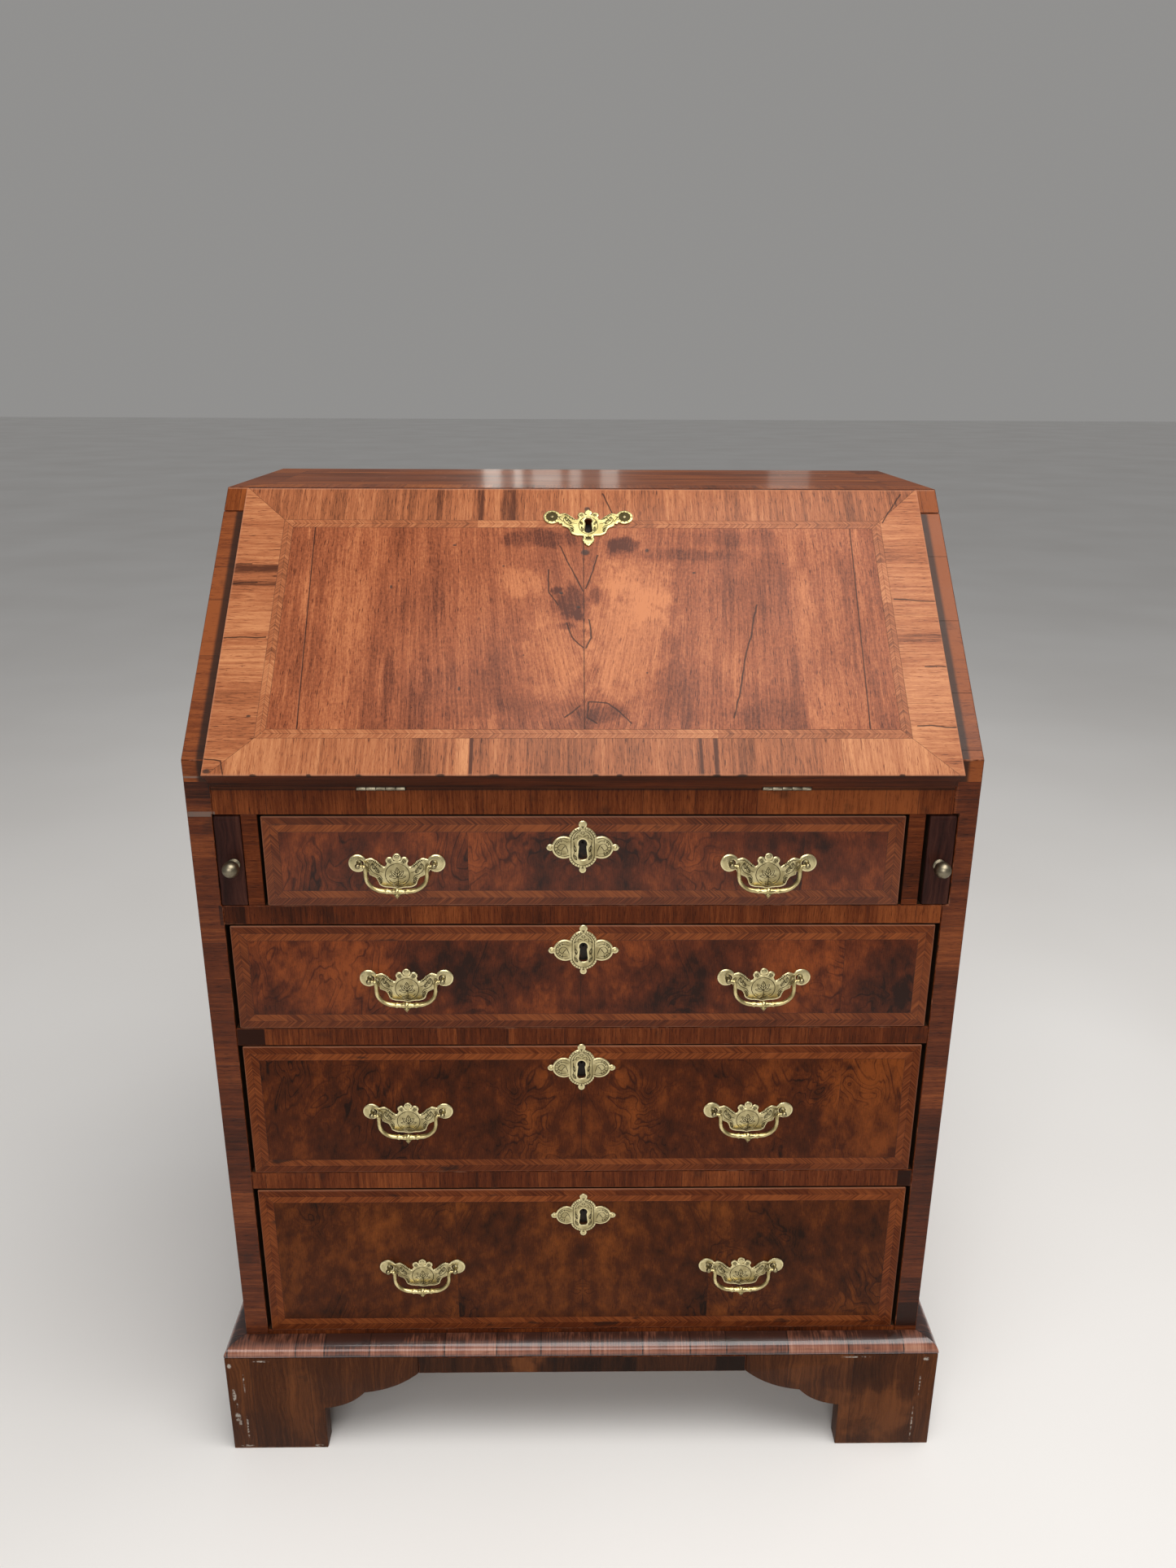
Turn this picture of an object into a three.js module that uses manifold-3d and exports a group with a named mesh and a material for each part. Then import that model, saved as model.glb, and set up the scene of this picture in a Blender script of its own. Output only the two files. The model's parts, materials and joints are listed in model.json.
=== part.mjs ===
// Slant-front secretary desk: a veneered case on bracket feet, a hinged writing fall that rests on
// two pull-out supports (lopers), four long drawers with bail handles on brass bat-wing plates, and an
// open nest of pigeonholes behind the fall. Millimetres, +Z up, the front faces -Y, +X is to its right.
// The origin is on the floor, under the middle of the whole outline.
import * as THREE from 'three';
import { mergeVertices } from 'three/addons/utils/BufferGeometryUtils.js';
import Module from 'manifold-3d';

const wasm = await Module();
wasm.setup();

// ---------------------------------------------------------------- driving dimensions

const GAP = 0.3; // left between solids that rest on each other
const OVERLAP = 1; // how far parts of one solid run into each other before they are joined
const CLEAR = 3; // how far a cutting tool stands out of the solid that it cuts

// case
const CASE_WIDTH = 740;
const CASE_DEPTH = 482;
const CASE_TOP_Z = 1030;
const TOP_SETBACK = 235; // from the front plane back to the front edge of the top
const SLOPE_START_Z = 807.5; // where the sides' front edges begin to slant
const BOARD = 22; // top and writing bed
const SIDE_THICKNESS = 23.9;
const BACK_THICKNESS = 10;
const KNOB_PROJECTION = 22; // the loper knobs stand furthest forward

const FRONT_Y = (KNOB_PROJECTION - CASE_DEPTH) / 2;
const BACK_Y = FRONT_Y + CASE_DEPTH;
const HALF_WIDTH = CASE_WIDTH / 2;
const INNER_HALF = HALF_WIDTH - SIDE_THICKNESS;
const INNER_BACK_Y = BACK_Y - BACK_THICKNESS;
const SLOPE = Math.atan2(CASE_TOP_Z - SLOPE_START_Z, TOP_SETBACK);

// plinth: moulding, apron and bracket feet
const PLINTH_PROJECTION = 20.7;
const PLINTH_TOP_Z = 128.2;
const MOULDING_TOP_Z = 142.5;
const APRON_BOTTOM_Z = 106.3;
const CASE_BOTTOM_Z = PLINTH_TOP_Z + GAP;
const BRACKET_THICKNESS = 20;
const BRACKET_FOOT_WIDTH = 105;
const BRACKET_LENGTH = 211;
const GLUE_BLOCK = 38;

// front divisions, from the floor up
const BOTTOM_BOARD_TOP_Z = 147.8;
const RAILS = [
  { name: 'rail_3', bottom: 334.4, top: 354.8 },
  { name: 'rail_2', bottom: 507.0, top: 526.4 },
  { name: 'rail_1', bottom: 640.8, top: 660.6 },
];
const FALL_RAIL = { bottom: 754.2, top: 780.0 };
const RAIL_DEPTH = 60;
const DUSTBOARD_THICKNESS = 9;

// fall and its hinges
const FALL_THICKNESS = 26;
const FALL_LIP_HALF_WIDTH = 347.6;
const FALL_SIDE_PLAY = 1;
const FALL_TOP_Z = CASE_TOP_Z - 0.4;
const HINGE_Y = FRONT_Y - 0.8;
const HINGE_Z = 780.3;
const HINGE_X = 188.3;
const HINGE_LENGTH = 45.4;
const KNUCKLES = 5;
const KNUCKLE_RADIUS = 2.15;
const PIN_RADIUS = 0.9;
const PIN_BORE_RADIUS = 1.3;
const KNUCKLE_ROOM = 0.45; // round the knuckles in the hollows cut for them
const LEAF_LENGTH = 28;
const LEAF_THICKNESS = 1.5;
const LEAF_START = 2.7; // leaves clear the other leaf's knuckles

// lopers and the partitions beside them
// (distances out from the middle of the case; the right loper sits to the outside of its slot)
const DIVIDER_INNER = 305.6;
const LOPERS = {
  left: { slot: [320.9, 347.2], sides: [321.6, 346.6], knobX: -330.7, knobZ: 704.2 },
  right: { slot: [321.2, 351.7], sides: [325.3, 350.9], knobX: 338, knobZ: 702.8 },
};
const LOPER_LENGTH = 345;
const LOPER_BOTTOM_PLAY = 0.4;
const LOPER_TOP_PLAY = 1.2;
const LOPER_NOSE = 5; // radius of the rounded top front corner
const LOPER_PROUD = 0.5;
const LOPER_HOUSING_SPARE = 12; // behind a closed loper

// drawers: handles and escutcheons are set out by hand, so they wander a little
const DRAWER_PROUD = 1; // the fronts stand this far out of the case
const DRAWER_FRONT_THICKNESS = 20;
const DRAWER_SIDE_THICKNESS = 11;
const DRAWER_BACK_THICKNESS = 10;
const DRAWER_BOTTOM_THICKNESS = 7;
const DRAWER_RUNNER_DEPTH = 7;
const DRAWER_BOX_LENGTH = 425;
const DRAWER_SIDE_DROP = 6;
const DRAWER_SIDE_INSET = 0.8; // the box is this much narrower than its front, each side
const DRAWERS = [
  { halfWidth: 302.3, bottom: 661.2, top: 752.4, pivotZ: 705.7, handlesX: [-177, 175], lock: [-1.5, 721.7] },
  { halfWidth: 341.3, bottom: 527.2, top: 639.4, pivotZ: 583.7, handlesX: [-173.5, 177], lock: [-0.5, 613.8] },
  { halfWidth: 341.3, bottom: 355.6, top: 505.8, pivotZ: 430.7, handlesX: [-179, 169], lock: [-2, 481.8] },
  { halfWidth: 341.3, bottom: 148.6, top: 332.8, pivotZ: 234.2, handlesX: [-172.5, 171], lock: [0.5, 301] },
];

// brass fittings
const PLATE_THICKNESS = 1.5;
const POST_X = 35.8;
const POST_RISE = 12.2; // posts above the middle of the plate's round medallion
const POST_RADIUS = 2;
const POST_HEAD_RADIUS = 3.2;
const PIVOT_DISTANCE = 8.5; // bail axis in front of the plate's back
const BAIL_RADIUS = 1.9;
const BAIL_PIN_RADIUS = 1.3;
const BAIL_BORE_RADIUS = 1.9;
const BAIL_PIN_START = 30.4;
const BAIL_PIN_END = 34.6;
const FALL_LOCK = { x: 5, alongFall: 286 };
const FALL_PLATE_HEIGHT = 0.95; // of a handle plate's height

// pigeonhole nest
const NEST_FRONT_Y = FRONT_Y + 243;
const NEST_BOARD = 6;
const NEST_SHELF_Z = 862;
const NEST_BAYS = 5;

// ---------------------------------------------------------------- materials

const material = (color, roughness, metalness = 0) => (
  new THREE.MeshStandardMaterial({ color, roughness, metalness })
);
const FALL_WALNUT = material(0xa9684a, 0.4);
const DRAWER_WALNUT = material(0x6e3d2a, 0.35);
const CASE_WALNUT = material(0x5c3120, 0.35);
const CROSSBAND_WALNUT = material(0x7c4429, 0.4);
const OAK = material(0x9b7a52, 0.7);
const PINE = material(0x8a6b48, 0.8);
const BRASS = material(0xd8cf9a, 0.3, 1);
const AGED_BRASS = material(0x8b8874, 0.4, 1);

// ---------------------------------------------------------------- geometry helpers

// A closed solid ready for joining and cutting.
function solidOf(geometry) {
  const bare = geometry.clone();
  bare.deleteAttribute('normal');
  bare.deleteAttribute('uv');
  const merged = mergeVertices(bare, 1e-4);
  return new wasm.Manifold(new wasm.Mesh({
    numProp: 3,
    vertProperties: Float32Array.from(merged.attributes.position.array),
    triVerts: Uint32Array.from(merged.index.array),
  }));
}

function geometryOf(solid) {
  const result = solid.getMesh();
  const geometry = new THREE.BufferGeometry();
  geometry.setAttribute('position', new THREE.BufferAttribute(result.vertProperties, 3));
  geometry.setIndex(new THREE.BufferAttribute(result.triVerts, 1));
  geometry.computeVertexNormals();
  return geometry;
}

const join = (...geometries) => (
  geometryOf(geometries.map(solidOf).reduce((whole, part) => whole.add(part)))
);

const cut = (geometry, ...tools) => (
  geometryOf(tools.map(solidOf).reduce((whole, tool) => whole.subtract(tool), solidOf(geometry)))
);

function block([x0, x1], [y0, y1], [z0, z1]) {
  const geometry = new THREE.BoxGeometry(x1 - x0, y1 - y0, z1 - z0);
  return geometry.translate((x0 + x1) / 2, (y0 + y1) / 2, (z0 + z1) / 2);
}

// A round bar along X.
function barX(radius, x0, x1, segments = 12) {
  const geometry = new THREE.CylinderGeometry(radius, radius, x1 - x0, segments);
  return geometry.rotateZ(Math.PI / 2).translate((x0 + x1) / 2, 0, 0);
}

// An oval prism that stands on the XY plane.
function disc(x, y, radiusX, radiusY, thickness = PLATE_THICKNESS, segments = 14) {
  const geometry = new THREE.CylinderGeometry(1, 1, thickness, segments);
  return geometry.rotateX(Math.PI / 2).scale(radiusX, radiusY, 1).translate(x, y, thickness / 2);
}

function prism(shape, thickness, curveSegments = 4) {
  return new THREE.ExtrudeGeometry(shape, { depth: thickness, bevelEnabled: false, curveSegments });
}

// The turn that lays an outline's x, its y and the way it is carried along three directions.
const frameOf = (outlineX, outlineY, carried) => new THREE.Matrix4().makeBasis(
  new THREE.Vector3(...outlineX),
  new THREE.Vector3(...outlineY),
  new THREE.Vector3(...carried),
);

// A (y, z) outline carried along X from x0 to x1.
function alongX(outline, x0, x1, curveSegments = 4) {
  const shape = outline instanceof THREE.Shape ? outline : polygon(outline);
  const turn = frameOf([0, 1, 0], [0, 0, 1], [1, 0, 0]);
  return prism(shape, x1 - x0, curveSegments).applyMatrix4(turn).translate(x0, 0, 0);
}

function polygon(points) {
  return new THREE.Shape(points.map(([x, y]) => new THREE.Vector2(x, y)));
}

// The whole outline from its right half, which runs from the top of the centre line to its bottom.
function mirrored(half, divisions) {
  const right = half.getPoints(divisions);
  const left = right.filter((point) => point.x > 0.01).reverse();
  return new THREE.Shape([...right, ...left.map((point) => new THREE.Vector2(-point.x, point.y))]);
}

function piece(name, geometry, look) {
  const mesh = new THREE.Mesh(geometry, look);
  mesh.name = name;
  return mesh;
}

// A frame on an upright front face: X to the right, Y up, Z out towards the viewer.
function frontFrame(x, y, z) {
  const frame = new THREE.Group();
  frame.position.set(x, y, z);
  frame.rotation.x = Math.PI / 2;
  return frame;
}

const desk = new THREE.Group();

// ---------------------------------------------------------------- case

// y of the slanted front edge at a height
const slopeY = (z) => FRONT_Y + (z - SLOPE_START_Z) / Math.tan(SLOPE);

function sidePanel(side, hand) {
  const topZ = CASE_TOP_Z - BOARD - GAP;
  const outline = [
    [FRONT_Y, CASE_BOTTOM_Z],
    [BACK_Y, CASE_BOTTOM_Z],
    [BACK_Y, topZ],
    [slopeY(topZ), topZ],
    [FRONT_Y, SLOPE_START_Z],
  ];
  const panel = alongX(outline, INNER_HALF, HALF_WIDTH);
  const loperHousing = block(
    [INNER_HALF - CLEAR, LOPERS[side].slot[1]],
    [FRONT_Y - CLEAR, FRONT_Y + LOPER_LENGTH + LOPER_HOUSING_SPARE],
    [RAILS[2].top, FALL_RAIL.bottom],
  );
  const housed = cut(panel, loperHousing);
  if (hand < 0) {
    housed.scale(-1, 1, 1);
    housed.index.array.reverse();
  }
  return piece(`side_${side}`, housed, CASE_WALNUT);
}

function topBoard() {
  const bottomZ = CASE_TOP_Z - BOARD;
  const outline = [
    [slopeY(bottomZ), bottomZ],
    [BACK_Y, bottomZ],
    [BACK_Y, CASE_TOP_Z],
    [slopeY(CASE_TOP_Z), CASE_TOP_Z],
  ];
  return piece('top_board', alongX(outline, -HALF_WIDTH, HALF_WIDTH), CASE_WALNUT);
}

const betweenSides = [-INNER_HALF + GAP, INNER_HALF - GAP];

function backPanel() {
  const heights = [CASE_BOTTOM_Z, CASE_TOP_Z - BOARD - GAP];
  return piece('back_panel', block(betweenSides, [INNER_BACK_Y, BACK_Y], heights), PINE);
}

function bottomBoard() {
  const depth = [FRONT_Y, INNER_BACK_Y - GAP];
  const heights = [CASE_BOTTOM_Z, BOTTOM_BOARD_TOP_Z];
  return piece('bottom_board', block(betweenSides, depth, heights), CROSSBAND_WALNUT);
}

function writingBed() {
  const depth = [FRONT_Y + RAIL_DEPTH + GAP, INNER_BACK_Y - GAP];
  const heights = [FALL_RAIL.top - BOARD, FALL_RAIL.top];
  return piece('writing_bed', block(betweenSides, depth, heights), OAK);
}

// A cross-grained front rail in one piece with the dustboard behind it.
function drawerRail({ name, bottom, top }) {
  const rail = block(betweenSides, [FRONT_Y, FRONT_Y + RAIL_DEPTH], [bottom, top]);
  const dustboardDepth = [FRONT_Y + RAIL_DEPTH - OVERLAP, INNER_BACK_Y - GAP];
  const dustboard = block(betweenSides, dustboardDepth, [top - DUSTBOARD_THICKNESS, top]);
  return piece(name, join(rail, dustboard), CROSSBAND_WALNUT);
}

// Room for a hinge: a shallow pocket for the leaf and a hollow for the knuckles. In the hinge's
// own frame the leaf lies along +Y and its outer face looks along +Z.
function hingeRecess(leafSideZ) {
  const half = HINGE_LENGTH / 2 + GAP;
  const [near, far] = leafSideZ;
  return [
    block([-half, half], [-CLEAR, LEAF_LENGTH + GAP], [near, far]),
    barX(KNUCKLE_RADIUS + KNUCKLE_ROOM, -half, half, 16),
  ];
}

function fallRail() {
  const { bottom, top } = FALL_RAIL;
  const board = block(betweenSides, [FRONT_Y, FRONT_Y + RAIL_DEPTH], [bottom, top]);
  const leafFloor = top - HINGE_Z - LEAF_THICKNESS - GAP;
  const recesses = [-HINGE_X, HINGE_X].flatMap((x) => (
    hingeRecess([leafFloor, CLEAR]).map((tool) => tool.translate(x, HINGE_Y, HINGE_Z))
  ));
  return piece('fall_rail', cut(board, ...recesses), CROSSBAND_WALNUT);
}

// The upright partition between the top drawer and a loper.
function loperDivider(side, hand) {
  const xs = [DIVIDER_INNER, LOPERS[side].slot[0]].map((x) => x * hand).sort((a, b) => a - b);
  const heights = [RAILS[2].top + GAP, FALL_RAIL.bottom - GAP];
  const board = block(xs, [FRONT_Y, INNER_BACK_Y - GAP], heights);
  return piece(`loper_divider_${side}`, board, CROSSBAND_WALNUT);
}

function pigeonholeNest() {
  const half = INNER_HALF - GAP;
  const depth = [NEST_FRONT_Y, INNER_BACK_Y - GAP];
  const floorZ = FALL_RAIL.top + GAP;
  const ceilingZ = CASE_TOP_Z - BOARD - GAP;
  const shelf = (z) => block([-half, half], depth, [z, z + NEST_BOARD]);
  const boards = [shelf(floorZ), shelf(NEST_SHELF_Z), shelf(ceilingZ - NEST_BOARD)];
  const pitch = (2 * half - NEST_BOARD) / NEST_BAYS;
  for (let i = 0; i <= NEST_BAYS; i += 1) {
    const x = -half + i * pitch;
    boards.push(block([x, x + NEST_BOARD], depth, [floorZ, ceilingZ]));
  }
  return piece('pigeonhole_nest', join(...boards), OAK);
}

desk.add(
  sidePanel('left', -1),
  sidePanel('right', 1),
  topBoard(),
  backPanel(),
  bottomBoard(),
  writingBed(),
  fallRail(),
  ...RAILS.map(drawerRail),
  loperDivider('left', -1),
  loperDivider('right', 1),
  pigeonholeNest(),
);

// ---------------------------------------------------------------- plinth

// The moulding's section: x is the distance out from the case, y is the height.
function mouldingSection() {
  const section = new THREE.Shape();
  section.moveTo(GAP, CASE_BOTTOM_Z);
  section.lineTo(PLINTH_PROJECTION, CASE_BOTTOM_Z);
  section.lineTo(PLINTH_PROJECTION, CASE_BOTTOM_Z + 3);
  section.quadraticCurveTo(PLINTH_PROJECTION - 1.5, MOULDING_TOP_Z - 1, 3, MOULDING_TOP_Z);
  section.lineTo(GAP, MOULDING_TOP_Z);
  return section;
}

// A length of moulding; each mitred end runs on as far as the section stands out.
function mouldingLength(length, mitreStart, mitreEnd) {
  const geometry = prism(mouldingSection(), length, 6);
  const position = geometry.attributes.position;
  for (let i = 0; i < position.count; i += 1) {
    const out = position.getX(i);
    const along = position.getZ(i);
    if (along < length / 2 && mitreStart) position.setZ(i, along - out);
    if (along > length / 2 && mitreEnd) position.setZ(i, along + out);
  }
  return geometry;
}

function baseMouldings() {
  const front = mouldingLength(CASE_WIDTH, true, true);
  front.applyMatrix4(frameOf([0, -1, 0], [0, 0, 1], [-1, 0, 0]));
  front.translate(HALF_WIDTH, FRONT_Y, 0);
  const sideLength = CASE_DEPTH - 2 * GAP;
  const right = mouldingLength(sideLength, false, true);
  right.applyMatrix4(frameOf([1, 0, 0], [0, 0, 1], [0, -1, 0]));
  right.translate(HALF_WIDTH, BACK_Y, 0);
  const left = mouldingLength(sideLength, true, false);
  left.applyMatrix4(frameOf([-1, 0, 0], [0, 0, 1], [0, 1, 0]));
  left.translate(-HALF_WIDTH, FRONT_Y + 2 * GAP, 0);
  return [
    piece('base_moulding_front', front, CROSSBAND_WALNUT),
    piece('base_moulding_left', left, CROSSBAND_WALNUT),
    piece('base_moulding_right', right, CROSSBAND_WALNUT),
  ];
}

// Bracket outline from the foot's corner: a straight foot, two lobes, then the apron strip.
function bracketOutline(length) {
  const lobeStart = { x: BRACKET_FOOT_WIDTH, y: 57 };
  const cusp = { x: 150, y: 79 };
  const outline = new THREE.Shape();
  outline.moveTo(0, 0);
  outline.lineTo(lobeStart.x, 0);
  outline.lineTo(lobeStart.x, lobeStart.y);
  outline.quadraticCurveTo(134, 60, cusp.x, cusp.y);
  outline.quadraticCurveTo(186, 83, BRACKET_LENGTH, APRON_BOTTOM_Z);
  outline.lineTo(length, APRON_BOTTOM_Z);
  outline.lineTo(length, PLINTH_TOP_Z);
  outline.lineTo(0, PLINTH_TOP_Z);
  return outline;
}

const PLINTH_HALF_WIDTH = HALF_WIDTH + PLINTH_PROJECTION;
const PLINTH_FRONT_Y = FRONT_Y - PLINTH_PROJECTION;
const SIDE_BRACKET_LENGTH = (BACK_Y - PLINTH_FRONT_Y) / 2 - GAP / 2;

// A foot in its own corner: one bracket along +X, one along +Y, and a block glued inside them.
function cornerFoot(faceLength) {
  const face = prism(bracketOutline(faceLength), BRACKET_THICKNESS, 6);
  face.applyMatrix4(frameOf([1, 0, 0], [0, 0, 1], [0, -1, 0])).translate(0, BRACKET_THICKNESS, 0);
  const flank = alongX(bracketOutline(SIDE_BRACKET_LENGTH), 0, BRACKET_THICKNESS, 6);
  const inside = [BRACKET_THICKNESS - OVERLAP, BRACKET_THICKNESS + GLUE_BLOCK];
  return join(face, flank, block(inside, inside, [0, PLINTH_TOP_Z]));
}

// Turns a foot made for the front left corner to another corner.
function footAt(name, faceLength, handX, handY) {
  const foot = cornerFoot(faceLength);
  foot.scale(-handX, -handY, 1);
  if (handX * handY < 0) foot.index.array.reverse();
  foot.translate(handX * PLINTH_HALF_WIDTH, handY < 0 ? PLINTH_FRONT_Y : BACK_Y, 0);
  return piece(name, foot, CASE_WALNUT);
}

function frontApron() {
  const half = PLINTH_HALF_WIDTH - BRACKET_LENGTH - GAP;
  const depth = [PLINTH_FRONT_Y, PLINTH_FRONT_Y + BRACKET_THICKNESS];
  return piece('front_apron', block([-half, half], depth, [APRON_BOTTOM_Z, PLINTH_TOP_Z]), CASE_WALNUT);
}

desk.add(
  ...baseMouldings(),
  footAt('foot_front_left', BRACKET_LENGTH, -1, -1),
  footAt('foot_front_right', BRACKET_LENGTH, 1, -1),
  footAt('foot_back_left', BRACKET_LENGTH, -1, 1),
  footAt('foot_back_right', BRACKET_LENGTH, 1, 1),
  frontApron(),
);

// ---------------------------------------------------------------- hinges

// One leaf with every second knuckle, in the hinge's own frame.
function hingeLeaf(firstKnuckle, leafZ, withPin) {
  const half = HINGE_LENGTH / 2;
  const pitch = HINGE_LENGTH / KNUCKLES;
  const leafHeights = [leafZ, leafZ + LEAF_THICKNESS];
  const parts = [block([-half, half], [LEAF_START, LEAF_LENGTH], leafHeights)];
  for (let i = firstKnuckle; i < KNUCKLES; i += 2) {
    const start = -half + i * pitch + GAP / 2;
    const end = start + pitch - GAP;
    const barrel = barX(KNUCKLE_RADIUS, start, end);
    parts.push(withPin ? barrel : cut(barrel, barX(PIN_BORE_RADIUS, start - CLEAR, end + CLEAR, 10)));
    const tab = block([start, end], [PIN_BORE_RADIUS + 0.1, LEAF_START + OVERLAP], leafHeights);
    parts.push(tab);
  }
  if (withPin) parts.push(barX(PIN_RADIUS, -half + OVERLAP, half - OVERLAP, 10));
  return join(...parts);
}

function caseLeaf(name, x) {
  const leaf = hingeLeaf(0, FALL_RAIL.top - HINGE_Z - LEAF_THICKNESS, true);
  return piece(name, leaf.translate(x, HINGE_Y, HINGE_Z), AGED_BRASS);
}

function fallLeaf(name, x) {
  return piece(name, hingeLeaf(1, GAP, false).translate(x, 0, 0), AGED_BRASS);
}

desk.add(caseLeaf('hinge_left_case_leaf', -HINGE_X), caseLeaf('hinge_right_case_leaf', HINGE_X));

// ---------------------------------------------------------------- fall

// In the fall's frame X runs along the hinge, Y up the slope and Z out of the closed fall.
const fall = new THREE.Group();
fall.position.set(0, HINGE_Y, HINGE_Z);
fall.rotation.x = SLOPE;

// distance from the fall's inner face to the slanted edges of the case
const EDGE_OFFSET = (SLOPE_START_Z - HINGE_Z) * Math.cos(SLOPE) - (FRONT_Y - HINGE_Y) * Math.sin(SLOPE);

// distance up the fall where it reaches a height, at an offset from its inner face
const alongFall = (z, offset) => (z - HINGE_Z - offset * Math.cos(SLOPE)) / Math.sin(SLOPE);

function fallBoard() {
  const lipInner = EDGE_OFFSET + GAP;
  const lip = [
    [0, lipInner - OVERLAP],
    [alongFall(FALL_TOP_Z, lipInner), lipInner - OVERLAP],
    [alongFall(FALL_TOP_Z, lipInner), lipInner],
    [alongFall(FALL_TOP_Z, FALL_THICKNESS), FALL_THICKNESS],
    [0, FALL_THICKNESS],
  ];
  const insetHalf = INNER_HALF - FALL_SIDE_PLAY;
  const insetTop = alongFall(CASE_TOP_Z - BOARD, EDGE_OFFSET) - 1.5;
  const lipPlate = cut(
    alongX(lip, -FALL_LIP_HALF_WIDTH, FALL_LIP_HALF_WIDTH),
    block([-HALF_WIDTH, -insetHalf], [-CLEAR, CASE_DEPTH], [0, lipInner]),
    block([insetHalf, HALF_WIDTH], [-CLEAR, CASE_DEPTH], [0, lipInner]),
    block([-HALF_WIDTH, HALF_WIDTH], [insetTop, CASE_DEPTH], [0, lipInner]),
  );
  const inset = block([-insetHalf, insetHalf], [0, insetTop], [0, lipInner]);
  const recesses = [-HINGE_X, HINGE_X].flatMap((x) => (
    hingeRecess([-CLEAR, 2 * GAP + LEAF_THICKNESS]).map((tool) => tool.translate(x, 0, 0))
  ));
  return piece('fall_board', cut(join(lipPlate, inset), ...recesses), FALL_WALNUT);
}

// ---------------------------------------------------------------- brass plates

// A round hole over a slot that flares to a round end.
function keyhole(radius, slotHalf, endHalf, endY) {
  const slot = polygon([[-slotHalf, 0], [-endHalf, endY], [endHalf, endY], [slotHalf, 0]]);
  const depth = 3 * PLATE_THICKNESS;
  return [
    disc(0, 0, radius, radius, depth, 10).translate(0, 0, -PLATE_THICKNESS),
    prism(slot, depth).translate(0, 0, -PLATE_THICKNESS),
    disc(0, endY, endHalf, 0.7 * endHalf, depth, 8).translate(0, 0, -PLATE_THICKNESS),
  ];
}

// The wings and belly of a bat-wing plate, as its right half from the top down. The origin is the
// middle of the medallion.
function batwingBody() {
  const half = new THREE.Path();
  half.moveTo(0, 17);
  half.lineTo(8.6, 14.8);
  half.lineTo(11, 9);
  half.quadraticCurveTo(16, 12, 21, 17.6);
  half.quadraticCurveTo(24.6, 20.6, 28.2, 16);
  half.lineTo(38, 12);
  half.lineTo(30.5, 6.4);
  half.lineTo(27.4, 2);
  half.lineTo(24.7, -0.4);
  half.quadraticCurveTo(19.8, -3, 18, -8);
  half.quadraticCurveTo(16.5, -12.4, 9, -12.6);
  half.lineTo(0, -13.8);
  return prism(mirrored(half, 2), PLATE_THICKNESS);
}

const batwing = () => [
  batwingBody(),
  disc(-37, POST_RISE, 8.6, 8.9, PLATE_THICKNESS, 12),
  disc(37, POST_RISE, 8.6, 8.9, PLATE_THICKNESS, 12),
  disc(0, 18.3, 3.7, 3.7, PLATE_THICKNESS, 6),
  disc(-6.9, 14.9, 3.6, 3.6, PLATE_THICKNESS, 6),
  disc(6.9, 14.9, 3.6, 3.6, PLATE_THICKNESS, 6),
];

// A bat-wing plate with the two posts that carry the bail.
function handlePlate() {
  const posts = [-POST_X, POST_X].flatMap((x) => {
    const shaft = disc(x, POST_RISE, POST_RADIUS, POST_RADIUS, PIVOT_DISTANCE, 6);
    const head = new THREE.SphereGeometry(POST_HEAD_RADIUS, 8, 4);
    return [shaft, head.translate(x, POST_RISE, PIVOT_DISTANCE)];
  });
  const bores = [-1, 1].map((side) => {
    const ends = [POST_X - POST_HEAD_RADIUS - CLEAR, BAIL_PIN_END + 2 * GAP].map((x) => x * side);
    const bore = barX(BAIL_BORE_RADIUS, Math.min(...ends), Math.max(...ends), 6);
    return bore.translate(0, POST_RISE, PIVOT_DISTANCE);
  });
  return cut(join(...batwing(), ...posts), ...bores);
}

// The swinging bail, about its own axis: out of the posts, down, across, with a drop in the middle.
function bail() {
  const half = [[-31.6, 0], [-30.6, -0.3], [-29.2, -1.8], [-28.9, -4], [-28.9, -11], [-26, -19], [-19, -24]];
  const points = [...half, [-9, -25.9], [0, -26.1], [9, -25.9]];
  const rightHalf = half.map(([x, y]) => [-x, y]).reverse();
  const path = [...points, ...rightHalf].map(([x, y]) => new THREE.Vector3(x, y, 0));
  const section = new THREE.Shape();
  section.absarc(0, 0, BAIL_RADIUS, 0, 2 * Math.PI, false);
  const ring = new THREE.ExtrudeGeometry(section, {
    steps: 20,
    curveSegments: 3,
    extrudePath: new THREE.CatmullRomCurve3(path),
  });
  const drop = new THREE.LatheGeometry([
    new THREE.Vector2(0, -34),
    new THREE.Vector2(1.2, -31.5),
    new THREE.Vector2(2.9, -29),
    new THREE.Vector2(3.4, -26),
    new THREE.Vector2(2, -23),
    new THREE.Vector2(0, -22.4),
  ], 6);
  return join(
    ring,
    drop,
    barX(BAIL_PIN_RADIUS, -BAIL_PIN_END, -BAIL_PIN_START, 6),
    barX(BAIL_PIN_RADIUS, BAIL_PIN_START, BAIL_PIN_END, 6),
  );
}

// A four-lobed escutcheon with a tab above and below and a pinned ear at each side.
function drawerEscutcheon() {
  const plate = join(
    disc(0, 0, 14.2, 20.8, PLATE_THICKNESS, 18),
    disc(-17.8, 0, 11.3, 11.3),
    disc(17.8, 0, 11.3, 11.3),
    disc(-30.7, 0, 3.4, 3.2, PLATE_THICKNESS, 8),
    disc(30.7, 0, 3.4, 3.2, PLATE_THICKNESS, 8),
    disc(0, 22.4, 4, 4.8, PLATE_THICKNESS, 8),
    disc(0, -21.8, 3.4, 4.4, PLATE_THICKNESS, 8),
  );
  return cut(plate, ...keyhole(4.3, 3.1, 4.6, -12).map((tool) => tool.translate(0, 3.8, 0)));
}

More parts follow.
